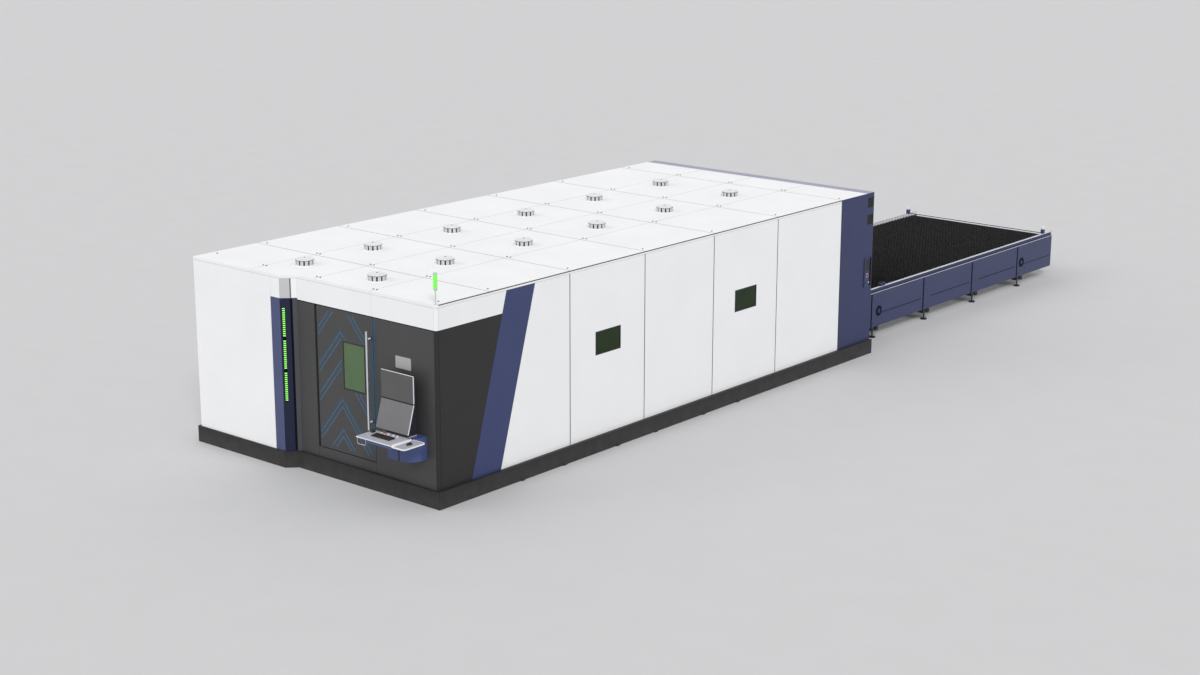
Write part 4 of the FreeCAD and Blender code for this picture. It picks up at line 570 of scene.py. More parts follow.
class CUTTER_OT_roof_vents(bpy.types.Operator):
    """Roof vents: bright ribs round a dark core, under a spun cap"""
    bl_idname = "cutter.roof_vents"
    bl_label = "Roof vents"

    def execute(self, context):
        ribs = context.scene.cutter_sizes.vent_ribs
        sides, cap_radius, brim_radius = 40, 0.119, 0.125
        flange = bevel_edges(drum((0, 0, 0.003), 0.146, 0.006, sides), 0.002, 2, above(0.002))
        core = inset_faces(drum((0, 0, 0.038), 0.110, 0.064, sides), facing(Z, 1), 0.02, -0.004)
        cap = drum((0, 0, 0.071), cap_radius, 0.004, sides)
        steps = ((0.002, brim_radius / cap_radius), (0.007, 1.0), (0.006, 0.90), (0.006, 0.72), (0.003, 0.40))
        for rise, width in steps:
            top = max(vertex.co.z for vertex in cap.data.vertices)
            choose(cap, "FACE", lambda middle, normal: normal.z > 0.9 and middle.z > top - 1e-5)
            bpy.ops.mesh.extrude_region_move(TRANSFORM_OT_translate={"value": (0, 0, rise)})
            bpy.ops.transform.resize(value=(width, width, 1))
            leave_edit()
        knob = bevel_edges(drum((0, 0, 0.095), 0.016, 0.004, 16), 0.0012)
        rib = bevel_edges(block((0.108, -0.022, 0.006), (0.123, 0.022, 0.067)), 0.004, 2, along(Z))
        upright = copies_at(merge([rib]), [(0, 0, 0)] * ribs)
        for index, twin in enumerate(upright):
            twin.rotation_euler = (0, 0, 2 * math.pi * index / ribs)
        # dark ring just under the cap's rim: painted shadow of the cap's overhang
        cap_shadow_ring = ring(drum((0, 0, 0.068), 0.1262, 0.004, sides), Z, 0.020)
        rows = (0.635, 1.8675, 3.4025, 4.9575, 6.5125, 8.130)
        places = [(x, FRONT + y, ROOF_HIGH.z) for x in (-0.686, 0.686) for y in rows]
        for name, shape, key in (
                ("spun_roof_vents", merge([cap, knob]), "vent"), ("vent_lips", cap_shadow_ring, "bezel_and_shadow"),
                ("vent_ribs", merge(upright), "rib"), ("vent_cores", core, "louvre"),
                ("vent_flanges", flange, "roof")):
            fit(copies_at(shape, places), name, key, angle=40,
                node="roof_vents" if key == "vent" else None)
        return {"FINISHED"}


class CUTTER_OT_roof_bolts(bpy.types.Operator):
    """Small lifting bolts where roof panels meet"""
    bl_idname = "cutter.roof_bolts"
    bl_label = "Roof bolts"

    def execute(self, context):
        washer = bevel_edges(drum((0, 0, 0.0015), 0.013, 0.003, 16), 0.0008, 1)
        head = bevel_edges(drum((0, 0, 0.0065), 0.0085, 0.007, 6), 0.0015, 1, above(0.003))
        rows = (1.195, 2.710, 4.265, 5.820, 7.375, 9.055)
        places = [(x + offset, y) for x in (-1.042, 0.002, 1.044) for y in (0.255, *rows)
                  for offset in (-0.030, 0.034)]
        places += [(x, y) for x in (-2.088, 2.088) for y in (0.320, *rows)]
        bolts = copies_at(merge([washer, head]), [(x, FRONT + y, ROOF_HIGH.z) for x, y in places])
        fit(bolts, "roof_bolts", "bolt")
        return {"FINISHED"}


class CUTTER_OT_joint_seals(bpy.types.Operator):
    """Seals in the joints of the side and roof panels and beside the rear portal, and a painted shadow under the
    white band
    """
    bl_idname = "cutter.joint_seals"
    bl_label = "Joint seals"

    def execute(self, context):
        sizes = context.scene.cutter_sizes
        half = sizes.side_joint / 2
        foot = BLOCK_LOW.z + 0.004
        portal = span("rear_portal")[0].y
        upright, lines, plates = [], [], []
        for side in (-1, 1):
            face = (side * SIDE, side, 0.0012)
            for y in SIDE_JOINTS:
                middle = FRONT + y + JOINT_SHIFT
                upright.append(bead_on(*face, (middle - half, foot), (middle + half, ROOF_LOW.z - 0.002)))
            start = 0.045 + (WALL if side > 0 else FRONT)
            upright.append(bead_on(*face, (start, ROOF_HIGH.z - 0.015), (portal - 0.002, ROOF_HIGH.z - 0.001)))
            lines.append(bead_on(*face, (portal - 0.006, foot), (portal + 0.006, ROOF_HIGH.z - 0.001)))
            plates.append(bead_on(*face, (portal + 0.007, ROOF_LOW.z - 0.003), (FRONT + 9.683, ROOF_HIGH.z - 0.0005)))
        band = span("white_band_panels")[0].z
        # dark bead under the white band: a painted shadow
        lines.append(bead((CHAMFER.x + 0.084, WALL - 0.0012, band - 0.011), (WALL_EDGE, WALL, band - 0.001)))
        fit(upright, "side_joint_seals", "joint")
        fit(lines, "portal_and_band_seals", "deep")
        fit(plates, "portal_head_plates", "portal")
        half = sizes.roof_joint / 2
        across = []
        for y in (1.110, *SIDE_JOINTS, 8.970):
            middle = FRONT + y + JOINT_SHIFT
            across.append(bead((-SIDE + 0.004, middle - half, ROOF_HIGH.z - 0.0002),
                               (SIDE - 0.004, middle + half, ROOF_HIGH.z + 0.0010)))
        for x in (-1.042, 0.0, 1.042):
            start, middle = 0.010 + (FRONT if x < 0 else WALL), x + JOINT_SHIFT
            across.append(bead((middle - half / 3, start, ROOF_HIGH.z - 0.0002),
                               (middle + half / 3, FRONT + 9.675, ROOF_HIGH.z + 0.0008)))
        fit(across, "roof_joint_seals", "roof_joint")
        return {"FINISHED"}


def on_chamfer(obj, across):
    """Turn a piece to the light column's chamfer and place it at a distance from the chamfer's middle."""
    obj.rotation_euler = (0, 0, math.radians(45))
    obj.location = CHAMFER + CHAMFER_ALONG * across + Vector((0, 0, obj.location.z))
    return obj


class CUTTER_OT_column_plates(bpy.types.Operator):
    """Navy face, dark return and grey cap on the light column's chamfer; the navy and the grey are painted shade, and
    the two dark strips are painted shadow
    """
    bl_idname = "cutter.column_plates"
    bl_label = "Column plates"

    def execute(self, context):
        low, high = span("light_column")
        column, cap = (low.z + 0.003, high.z - 0.002), (high.z + 0.006, ROOF_LOW.z - 0.006)
        edge, shade = 0.021, 0.052      # right edges of the face and of its shaded side, from the chamfer's middle
        # the face's navy is painted shade of the blue chamfer, the cap's grey painted shade of the white, and both
        # shade strips painted shadow
        for name, start, end, (bottom, top), key, slot in (
                ("column_face_plate", -CHAMFER_HALF, edge, column, "navy", "blue_paint"),
                ("column_shade_plate", edge, shade, column, "deep", "blue_paint"),
                ("column_return_plate", shade, CHAMFER_HALF, column, "return", "dark_paint"),
                ("column_cap_plate", -CHAMFER_HALF, edge, cap, "cap_grey", "white_paint"),
                ("cap_shade_plate", edge, edge + 0.018, cap, "cap_shade", "white_paint")):
            plate = bevel_edges(block((start, -0.0008, bottom), (end, 0, top)), 0.0003, 1)
            fit([on_chamfer(plate, (start + end) / 2)], name, key)
        return {"FINISHED"}


class CUTTER_OT_light_strip(bpy.types.Operator):
    """Channel behind the light bars, with rounded bar lenses"""
    bl_idname = "cutter.light_strip"
    bl_label = "Light strip"

    def execute(self, context):
        bottom = span("light_bars")[0].z - 0.024
        group_pitch, pitch, bar_height = 0.434, 0.0279, 0.0155
        top = bottom + 2 * group_pitch + 13 * pitch + bar_height
        tray = bevel_edges(block((-0.023, -0.0022, bottom - 0.014), (0.023, 0, top + 0.014)), 0.0008, 1)
        fit([on_chamfer(tray, LIGHTS)], "light_channel", "deep")
        lens = bevel_edges(block((-0.017, -0.0038, 0), (0.017, 0, bar_height)), 0.0018)
        bars = copies_at(lens, [(0, 0, bottom + group * group_pitch + index * pitch)
                                for group in range(3) for index in range(14)])
        fit([on_chamfer(bar, LIGHTS) for bar in bars], "light_bar_lenses", "bars",
            node="light_bars")
        return {"FINISHED"}


class CUTTER_OT_window_seals(bpy.types.Operator):
    """Black seals round the side windows and the door's window"""
    bl_idname = "cutter.window_seals"
    bl_label = "Window seals"

    def execute(self, context):
        width = context.scene.cutter_sizes.seal_width
        seals = [ring(block((SIDE - 0.006, FRONT + start - 0.006, 1.350),
                            (SIDE + 0.003, FRONT + start + 0.516, 1.672)), X, width) for start in (3.150, 6.260)]
        fit(seals, "side_window_seals", "rubber")
        low, high = span("door_window")
        seal = ring(block((low.x + 0.002, WALL - 0.002, low.z + 0.002),
                          (high.x - 0.002, WALL + 0.0029, high.z - 0.002)), Y, 0.014)
        fit([bevel_edges(seal, 0.0006, 1)], "door_window_seal", "rubber", "door")
        return {"FINISHED"}


class CUTTER_OT_signal_lamp(bpy.types.Operator):
    """Green lens with a pale base and cap"""
    bl_idname = "cutter.signal_lamp"
    bl_label = "Signal lamp"

    def execute(self, context):
        low, high = span("lamp_lens")
        middle = (low + high) / 2
        radius = (high.x - low.x) / 2
        lens = drum((middle.x, middle.y, (low.z + 0.012 + high.z - 0.018) / 2), radius - 0.001,
                    high.z - low.z - 0.030)
        bevel_edges(lens, 0.002, 2, lambda point, direction: abs(direction.z) < 0.1)
        fit([lens], "lamp_lens_column", "lamp", node="lamp_lens")
        base = bevel_edges(drum((middle.x, middle.y, low.z + 0.006), radius, 0.012), 0.002)
        cap = bevel_edges(drum((middle.x, middle.y, high.z - 0.009), radius, 0.018), 0.006, 3, above(0.005))
        fit([base, cap], "lamp_trim", "grey")
        return {"FINISHED"}


# ------------------------------------------------------------------ door

class CUTTER_OT_door_handle(bpy.types.Operator):
    """Long bar handle with rounded edges, end caps and round legs"""
    bl_idname = "cutter.door_handle"
    bl_label = "Door handle"

    def execute(self, context):
        low, high = span("door_handle")
        bar = bevel_edges(block(low, (high.x, low.y + 0.024, high.z)), 0.008, 4, along(Z))
        inset_faces(bar, facing(Z), 0.0025, 0.0)
        inset_faces(bar, facing(Z), 0.0008, -0.0010)
        legs, rose_shadows = [], []
        middle = (low.x + high.x) / 2
        length = high.y - low.y - 0.023
        for z in (low.z + 0.100, high.z - 0.100):
            leg = drum((middle, high.y - length / 2, z), 0.012, length, 24, TO_Y)
            legs.append(bevel_edges(leg, 0.001, 1))
            # black discs behind the legs: painted shadow of the legs on the door
            rose_shadow = drum((middle, high.y - 0.006, z), 0.020, 0.012, 28, TO_Y)
            rose_shadows.append(bevel_edges(rose_shadow, 0.002))
        fit(rose_shadows, "handle_roses", "black", "door")
        # bright paint on the steel legs: a painted reflection of the pale surroundings
        fit(legs, "handle_legs", "edge", "door")
        fit([bar], "bar_handle", "steel", "door", node="door_handle")
        return {"FINISHED"}


def strip(start, end, width, y):
    """Thin flat strip between two points of the door's face, with rounded ends."""
    (x0, z0), (x1, z1) = start, end
    half = Vector((math.hypot(x1 - x0, z1 - z0) + width, 0.0008, width)) / 2
    obj = bevel_edges(block(-half, half), width * 0.45, 2, along(Y))
    obj.location = ((x0 + x1) / 2, y, (z0 + z1) / 2)
    obj.rotation_euler = (0, -math.atan2(z1 - z0, x1 - x0), 0)
    return obj


def hatch(low, high, slope, offset):
    """The part of the line z = slope * x + offset inside a rectangle of the door's face, if it is long enough."""
    ends = [(z - offset) / slope for z in (low[1], high[1])]
    left, right = max(low[0], min(ends)), min(high[0], max(ends))
    return [((left, slope * left + offset), (right, slope * right + offset))] if right - left > 0.03 else []


class CUTTER_OT_door_lines(bpy.types.Operator):
    """Plain chevrons of thin stripes on the door"""
    bl_idname = "cutter.door_lines"
    bl_label = "Door stripes"

    def execute(self, context):
        width = context.scene.cutter_sizes.line_width
        y = WALL - 0.0004
        pane_low, pane_high = span("door_window")
        left, right = DOOR_LOW.x + 0.035, DOOR_HIGH.x - 0.068
        bottom, top = DOOR_LOW.z + 0.050, DOOR_HIGH.z - 0.050
        ridge, slope = pane_low.x - 0.030, 1.20     # upright line through the chevrons' points, and their slope
        bright, dim = [], []
        for start, count in ((0.00, 3), (0.40, 4), (0.92, 3), (1.30, 4), (1.80, 3)):
            for index in range(count):
                offset = start + index * 0.048
                back = slope * ridge + offset + slope * ridge
                rising = hatch((left, bottom), (ridge, top), slope, offset)
                falling = hatch((ridge, bottom), (right, pane_low.z - 0.020), -slope, back)
                falling += hatch((ridge, pane_high.z + 0.020), (right, top), -slope, back)
                target = bright if index % 2 == 0 else dim
                for runs, level in ((rising, y), (falling, y - 0.0003)):
                    target.extend(strip(begin, end, width, level) for begin, end in runs)
        for index in range(3):
            x = pane_high.x + 0.030 + index * 0.020
            (bright if index == 1 else dim).append(strip((x, pane_low.z), (x, pane_high.z), width, y))
        dim += [strip((x, bottom), (x, top), width, y) for x in (DOOR_HIGH.x - 0.016, DOOR_HIGH.x - 0.006)]
        fit(bright, "bright_door_stripes", "line", "door")
        fit(dim, "dim_door_stripes", "dim_line", "door")
        beside = [DOOR_HIGH.x + 0.012 + index * 0.010 for index in range(3)]
        fit([strip((x, bottom + 0.35), (x, top), width, y) for x in beside], "wall_stripes", "dim_line")
        return {"FINISHED"}


class CUTTER_OT_sign_plate(bpy.types.Operator):
    """Bare metal plate with four screws, to the right of the door"""
    bl_idname = "cutter.sign_plate"
    bl_label = "Sign plate"

    def execute(self, context):
        low, high = Vector((1.479, WALL - 0.0025, 1.693)), Vector((1.751, WALL, 1.848))
        plate = bevel_edges(block(low, high), 0.012, 3, along(Y))
        parts = [inset_faces(plate, facing(Y, -1), 0.004, 0.0006)]
        for x in (low.x + 0.014, high.x - 0.014):
            for z in (low.z + 0.014, high.z - 0.014):
                screw = drum((x, low.y - 0.0008, z), 0.0045, 0.003, 16, TO_Y)
                parts.append(bevel_edges(screw, 0.0008))
        fit(parts, "bare_sign_plate", "plate", angle=5)
        return {"FINISHED"}


# ------------------------------------------------------------------ console

class CUTTER_OT_console(bpy.types.Operator):
    """Console: thin screens with bright edges, a navy bar of painted shadow between them, tray edge, mouse mat and
    pod joint
    """
    bl_idname = "cutter.console"
    bl_label = "Console"

    def execute(self, context):
        low, high = span("upper_screen")
        self.screen("upper_screen", 0.0, high.z - low.z, "screen")
        self.screen("lower_screen", math.radians(16.9), 0.381, "screen_low")
        # navy bar between the screens: painted shadow under the upper screen
        hinge = bead((low.x + 0.004, low.y + 0.003, high.z - 0.366), (high.x, low.y + 0.014, low.z))
        fit([hinge], "screen_hinge_bar", "navy", "console")
        low, high = span("console_pod")
        start, end = 1.767, 1.791               # between the pod's two covers
        joint = bead((start, low.y - 0.0004, low.z + 0.002), (end, low.y + 0.0004, high.z - 0.002), 0.0002)
        fit([joint], "pod_joint_seal", "rubber")
        low, high = span("console_tray")
        front, shelf = -8.560, 0.914            # the tray's front and the top of its mouse shelf
        edge = block((low.x + 0.002, front - 0.0012, 0.9025), (TRAY_STEP, front, 0.9175))
        bevel_edges(edge, 0.0004, 1)
        fit([edge], "tray_edge_trim", "edge", "console")
        mat = block((2.020, low.y + 0.018, shelf), (high.x - 0.018, -8.216, shelf + 0.0015))
        bevel_edges(mat, 0.030, 5, along(Z))
        bevel_edges(mat, 0.0005, 1, lambda middle, direction: abs(direction.z) < 0.1 and middle.z > 0.0006)
        fit([mat], "mouse_mat", "mat", "console")
        return {"FINISHED"}

    def screen(self, node, tilt, length, key):
        """Thin dark slab with a flat face and a bright edge at the right and on top, tilted as its node is."""
        low, high = span(node)
        half = (high.x - low.x) / 2
        slab = bevel_edges(block((-half, 0.0006, -length), (half - 0.001, 0.018, -0.001)), 0.004, 3, along(Y))
        face = block((-half + 0.002, 0, -length + 0.002), (half - 0.007, 0.003, -0.006))
        bevel_edges(face, 0.003, 2, along(Y))
        inset_faces(face, facing(Y, -1), 0.0010, 0.0)
        edges = [bead((half - 0.0065, -0.0002, -length + 0.004), (half, 0.012, -0.0008), 0.0005)]
        if node == "upper_screen":
            edges.append(bead((-half + 0.006, -0.0002, -0.0055), (half, 0.012, 0), 0.0005))
        for pieces, part, finish_key, slot in (([slab], "_case", "black", "black_plastic"),
                                               ([face], "_face", key, "screen_plastic"),
                                               (edges, "_edges", "edge", "grey_plastic")):
            piece = merge(pieces)
            piece.rotation_euler = (-tilt, 0, 0)
            piece.location = ((low.x + high.x) / 2, FRONT, high.z)
            fit([piece], node + part, finish_key, "console", node=node if finish_key == key else None)


class CUTTER_OT_desk(bpy.types.Operator):
    """Keyboard with rounded keys, and the mouse"""
    bl_idname = "cutter.desk"
    bl_label = "Keyboard and mouse"

    def execute(self, context):
        gap = context.scene.cutter_sizes.key_gap
        low, high = span("keyboard")
        board = block(low, (high.x, high.y, low.z + 0.0135))
        choose(board, "EDGE", lambda middle, direction: middle.z > 0 and middle.y > 0.04 and abs(direction.x) > 0.9)
        bpy.ops.transform.translate(value=(0, 0, 0.0045))
        leave_edit()
        parts = [bevel_edges(board, 0.003)]
        rows, columns = 5, 15
        deep, wide = (high.y - low.y - gap) / rows, (high.x - low.x - gap) / columns
        bar_start, bar_length = 4, 6            # the long bar in the first row, in columns
        for row in range(rows):
            column = 0
            while column < columns:
                length = bar_length if row == 0 and column == bar_start else 1
                x, y = low.x + gap + column * wide, low.y + gap + row * deep
                z = low.z + 0.0108 + 0.0072 * (row + 0.5) / rows
                key = block((x, y, z - 0.004), (x + length * wide - gap, y + deep - gap, z + 0.0032))
                parts.append(inset_faces(key, facing(Z, 1), 0.0014, 0.0006))
                column += length
        fit(parts, "keyboard_with_keys", "black", "console", node="keyboard")
        low, high = span("mouse")
        middle = (low + high) / 2
        only(None)
        bpy.ops.mesh.primitive_uv_sphere_add(segments=24, ring_count=16, radius=0.5,
                                             location=(middle.x, middle.y, low.z + 0.002))
        shell = stretched((high.x - low.x - 0.002, high.y - low.y - 0.002, (high.z - low.z - 0.003) * 2))
        choose(shell, "FACE", anywhere)
        bpy.ops.mesh.bisect(plane_co=(middle.x, middle.y, low.z + 0.0005), plane_no=(0, 0, 1), clear_inner=True,
                            use_fill=True)
        leave_edit()
        wheel = drum((middle.x, middle.y + 0.026, high.z - 0.010), 0.009, 0.007, 24, TO_X)
        fit([shell, bevel_edges(wheel, 0.001, 1)], "mouse_shell", "rubber", "console", 50, "mouse")
        return {"FINISHED"}


class CUTTER_OT_buttons(bpy.types.Operator):
    """Mushroom heads and rounded push buttons"""
    bl_idname = "cutter.buttons"
    bl_label = "Buttons"

    def execute(self, context):
        for node, axis, turn in (("console_stop_button", Z, (0, 0, 0)), ("rear_stop_button", X, TO_X)):
            low, high = span(node)
            stem_at = (low + high) / 2
            head_at = stem_at.copy()
            start, end = low[axis], high[axis] - 0.010
            stem_at[axis], head_at[axis] = (start + end) / 2, high[axis] - 0.006
            stem = drum(stem_at, 0.0079, end - start, 20, turn)
            head = drum(head_at, 0.018, 0.012, 32, turn)
            bevel_edges(head, 0.004, 4, above(0.004))
            bevel_edges(head, 0.001, 1, lambda point, direction: point.z < -0.005)
            fit([stem, head], node + "_mushroom", "red", node, 50, node)
        caps = [("console_button_%d" % number, X, Z, (0, 0, 0)) for number in (1, 2, 3, 4)]
        caps += [("rear_button_%d" % number, Y, X, TO_X) for number in (1, 2)]
        for node, across, deep, turn in caps:
            low, high = span(node)
            cap = drum((low + high) / 2, (high[across] - low[across]) / 2, high[deep] - low[deep], 28, turn)
            bevel_edges(cap, 0.0018, 3, above(0.004))
            key, slot = ("green", "green_plastic") if node.endswith("_1") else ("ivory", "white_plastic")
            fit([cap], node + "_cap", key, node, 50, node)
        return {"FINISHED"}


# ------------------------------------------------------------------ pallets, changer and rear station

class CUTTER_OT_slats(bpy.types.Operator):
    """Notched slats on both pallets"""
    bl_idname = "cutter.slats"
    bl_label = "Notched slats"

    def execute(self, context):
        sizes = context.scene.cutter_sizes
        thickness, pitch = 0.004, 0.1
        for node, body in (("upper_pallet_slats", "upper_pallet"), ("lower_pallet_slats", "lower_pallet")):
            low, high = span(node)
            teeth = int((high.x - low.x) / sizes.tooth_pitch)
            middle = Vector(((low.x + high.x) / 2, low.y + 0.002, (low.z + high.z) / 2))
            only(None)
            bpy.ops.mesh.primitive_grid_add(x_subdivisions=teeth * 2, y_subdivisions=1, size=1, location=middle,
                                            rotation=TO_Y)
            slat = bpy.context.object
            slat.scale = (high.x - low.x, high.z - low.z, 1)
            merge([slat])
            step = (high.x - low.x) / (teeth * 2)
            choose(slat, "VERT", lambda point, normal:
                   point.z > middle.z and round((point.x - low.x) / step) % 2 == 0)
            bpy.ops.transform.translate(value=(0, 0, -sizes.tooth_depth))
            leave_edit()
            wall = slat.modifiers.new("wall", "SOLIDIFY")
            wall.thickness = thickness
            wall.offset = 0
            only(slat)
            bpy.ops.object.modifier_apply(modifier=wall.name)
            count = round((high.y - low.y - thickness) / pitch) + 1
            fit(copies_at(slat, [(0, index * pitch, 0) for index in range(count)]), "notched_" + node, "slat",
                body, 20, node)
        return {"FINISHED"}


class CUTTER_OT_changer_details(bpy.types.Operator):
    """Bright rail edges, dark joints, painted shade in the fold grooves, bearing rings, post covers and bolts of the
    changer
    """
    bl_idname = "cutter.changer_details"
    bl_label = "Changer details"

    def execute(self, context):
        low, high = span("changer_side_panels")
        skin = high.x - 0.012
        joints = [FRONT + y for y in (10.620, 12.225, 13.830, 15.435)]
        self.rail_edges()
        self.joints_and_groove_shade(low, high, skin, joints)
        self.bearing_rings(low, high)
        self.post_covers()
        head = bevel_edges(drum((skin + 0.003, 0, 0), 0.009, 0.006, 6, TO_X), 0.0012)
        bolts = copies_at(head, [(0, line + offset, z) for line in joints for offset in (-0.055, 0.055)
                                 for z in (0.245, 0.640)])
        fit(bolts, "changer_bolts", "navy")
        return {"FINISHED"}

    def rail_edges(self):
        """Bright strips on the flanges of both rails and on the stop bar."""
        low, high = span("changer_rails")
        front, back, top = low.y + 0.004, high.y - 0.004, high.z + 0.001
        strips = []
        for outer, inner, away in ((high.x, 1.7235, 1), (low.x, -1.1435, -1)):
            for plane, side, proud, foot, head in (
                    (inner, -away, 0.001, high.z - 0.060, high.z - 0.004),      # guide
                    (outer, -away, 0.015, high.z, top),                         # top flange
                    (outer, away, 0.001, high.z - 0.007, high.z),               # upper and lower flange's edge
                    (outer, away, 0.001, low.z, low.z + 0.007),
                    (inner, away, 0.008, high.z, top)):                         # inner edge
                strips.append(bead_on(plane, side, proud, (front, foot), (back, head)))
        strips.append(bead((-1.143, FRONT + 16.467, high.z), (1.723, FRONT + 16.479, top)))     # stop bar
        fit(strips, "rail_edge_strips", "edge")

    def joints_and_groove_shade(self, low, high, skin, joints):
        """Dark seals in the upright joints, and painted shade in the fold grooves, on both sides."""
        foot, head = low.z + 0.004, high.z - 0.004
        lines = []
        for face, away in ((skin, 1), (low.x + 0.012, -1)):
            for near, far in [(low.y + 0.002, low.y + 0.030)] + [(y - 0.017, y + 0.017) for y in joints]:
                lines.append(bead_on(face, away, 0.001, (near, foot), (far, head)))
            # dark strips in the fold grooves: painted shade of the grooves
            for start, end in zip(joints, [y - 0.020 for y in joints[1:]] + [high.y - 0.010]):
                lines.append(bead_on(face, away, 0.0004, (start + 0.242, 0.3815), (end - 0.049, 0.3925), 0.0010))
        fit(lines, "changer_joints", "deep")

    def bearing_rings(self, low, high):
        """Dark rings on the bearings of the chain drive."""
        axles, level = (2.713, 7.470), 0.430
        rings = []
        for y in axles:
            for x, away in ((high.x, 1), (low.x, -1)):
                for proud, radius, wall in ((0.0006, 0.064, 0.017), (-0.0112, 0.086, 0.019)):
                    disc = drum((x + away * proud, y, level), radius, 0.0016, 40, TO_X)
                    rings.append(ring(disc, Z, wall))
        fit(rings, "bearing_face_rings", "deep")

    def post_covers(self):
        """White covers over the two sensor posts' heads."""
        low, high = span("rail_blocks")
        wide, foot, margin = 0.056, 0.912, 0.001
        covers = [block((start - margin, high.y - wide - margin, foot),
                        (start + wide + margin, high.y + margin, high.z + 0.0015))
                  for start in (low.x, high.x - wide)]
        fit([bevel_edges(cover, 0.004, 2, above(-0.02)) for cover in covers], "post_covers", "ivory")


class CUTTER_OT_rear_station(bpy.types.Operator):
    """Touch panel, a painted shadow strip in the recess, and the stop collar of the rear station"""
    bl_idname = "cutter.rear_station"
    bl_label = "Rear station"

    def execute(self, context):
        low, high = span("rear_station")
        face, middle = 2.214, 1.5995            # the station's face, and the middle line of its controls
        glass = block((face - 0.003, middle - 0.0515, 1.351), (face - 0.0005, middle + 0.0515, 1.552))
        inset_faces(glass, facing(X, 1), 0.006, 0)
        inset_faces(glass, lambda point, normal: normal.x > 0.99 and abs(point.y) < 0.01 and abs(point.z) < 0.01,
                    0.0006, -0.0005)
        fit([glass], "touch_panel", "touch", angle=20)
        # dark strip beside the controls: painted shadow of the recess's side wall
        slot = bead((face, 1.661, low.z + 0.006), (face + 0.0008, 1.709, high.z - 0.006))
        fit([slot], "station_slot", "deep")
        collar = ring(drum((face + 0.0006, middle, 1.285), 0.030, 0.0014, 36, TO_X), Z, 0.007)
        fit([collar], "stop_collar", "ivory")
        return {"FINISHED"}


# ------------------------------------------------------------------ stage and panel

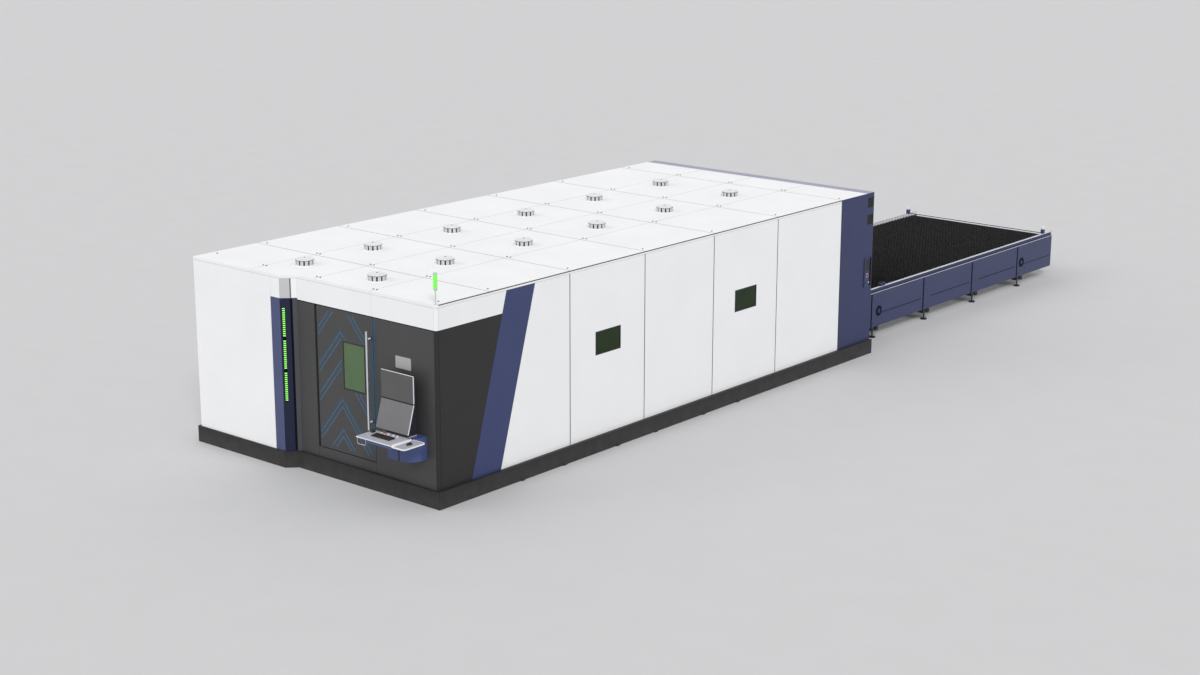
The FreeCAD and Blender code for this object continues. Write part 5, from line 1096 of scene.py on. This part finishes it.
class CUTTER_OT_stage(bpy.types.Operator):
    """Pale floor, soft lamps, world and the camera"""
    bl_idname = "cutter.stage"
    bl_label = "Stage"

    def execute(self, context):
        only(None)
        bpy.ops.mesh.primitive_plane_add(size=600, location=(0, 0, -0.0005))
        floor = named("studio_floor")
        colour = context.scene.cutter_colours.floor
        floor.data.materials.append(painted("studio_floor_paint", colour, 0.8, 30.0, 0.05, mottle=0.02, gloss=0.2))
        self.world(context)
        self.lamp("key", (24, -20, 26), 1.25, 14)
        self.lamp("fill", (-20, -24, 20), 0.40, 30)
        self.camera(context)
        context.scene.view_settings.view_transform = "Standard"
        return {"FINISHED"}

    def world(self, context):
        """Soft light from all round, and a paler background where the camera or a gloss looks past the machine."""
        world = bpy.data.worlds.new("studio")
        context.scene.world = world
        world.use_nodes = True
        tree = world.node_tree
        light = tree.nodes["Background"]
        light.inputs["Color"].default_value = (1, 1, 1, 1)
        light.inputs["Strength"].default_value = 0.71
        larger = ("operation", "MAXIMUM")
        nodes = add_nodes(tree, {
            "seen": ("Background", {"Color": (0.90, 0.90, 0.91, 1), "Strength": 1.0}), "path": ("LightPath", {}),
            "either": ("Math", {}, larger), "any": ("Math", {}, larger), "mix": ("MixShader", {})})
        nodes.update(light=light, world=tree.nodes["World Output"])
        wire(tree, nodes, ("path.Is Camera Ray > either.0", "path.Is Glossy Ray > either.1", "either.0 > any.0",
                           "path.Is Transmission Ray > any.1", "any.0 > mix.Fac", "light.0 > mix.1",
                           "seen.0 > mix.2", "mix.0 > world.Surface"))

    def lamp(self, name, place, strength, softness):
        """Distant soft lamp that shines on the machine's foot."""
        data = bpy.data.lights.new(name, "SUN")
        data.energy = strength
        data.angle = math.radians(softness)
        lamp = bpy.data.objects.new(name, data)
        bpy.context.collection.objects.link(lamp)
        lamp.location = place
        lamp.rotation_euler = (Vector((0, 0, 1)) - Vector(place)).to_track_quat("-Z", "Y").to_euler()

    def camera(self, context):
        """Camera that was fitted to the photograph's edges."""
        data = bpy.data.cameras.new("camera")
        data.sensor_width = 36.0
        data.lens = 60.496
        data.clip_end = 2000
        camera = bpy.data.objects.new("camera", data)
        context.collection.objects.link(camera)
        camera.location = (18.984, FRONT - 16.619, 8.465)
        yaw, pitch, roll = 0.70178, -0.25888, -0.00156
        ahead = Vector((-math.sin(yaw) * math.cos(pitch), math.cos(yaw) * math.cos(pitch), math.sin(pitch)))
        turn = ahead.to_track_quat("-Z", "Y").to_matrix().to_4x4() @ Matrix.Rotation(-roll, 4, "Z")
        camera.rotation_euler = turn.to_euler()
        context.scene.camera = camera


class CUTTER_PT_dressing(bpy.types.Panel):
    """Colours, sizes and the operators, in order"""
    bl_label = "Laser Cutter"
    bl_idname = "CUTTER_PT_dressing"
    bl_space_type = "VIEW_3D"
    bl_region_type = "UI"
    bl_category = "Laser Cutter"

    def draw(self, context):
        layout = self.layout
        for group in (context.scene.cutter_colours, context.scene.cutter_sizes):
            box = layout.box()
            for key in group.bl_rna.properties.keys():
                if key not in ("rna_type", "name"):
                    box.prop(group, key)
        for operator in OPERATORS:
            layout.operator(operator.bl_idname)


OPERATORS = (
    CUTTER_OT_paint, CUTTER_OT_roof_vents, CUTTER_OT_roof_bolts, CUTTER_OT_joint_seals, CUTTER_OT_column_plates,
    CUTTER_OT_slats, CUTTER_OT_door_handle, CUTTER_OT_door_lines, CUTTER_OT_sign_plate, CUTTER_OT_window_seals,
    CUTTER_OT_light_strip, CUTTER_OT_console, CUTTER_OT_desk, CUTTER_OT_buttons, CUTTER_OT_signal_lamp,
    CUTTER_OT_rear_station, CUTTER_OT_changer_details, CUTTER_OT_stage,
)
CLASSES = (CutterColours, CutterSizes) + OPERATORS + (CUTTER_PT_dressing,)


def register():
    for each in CLASSES:
        bpy.utils.register_class(each)
    bpy.types.Scene.cutter_colours = PointerProperty(type=CutterColours)
    bpy.types.Scene.cutter_sizes = PointerProperty(type=CutterSizes)


def unregister():
    del bpy.types.Scene.cutter_sizes
    del bpy.types.Scene.cutter_colours
    for each in reversed(CLASSES):
        bpy.utils.unregister_class(each)


def main():
    """Dress the machine."""
    register()
    for operator in OPERATORS:
        family, action = operator.bl_idname.split(".")
        getattr(getattr(bpy.ops, family), action)()


if __name__ == "__main__":
    main()
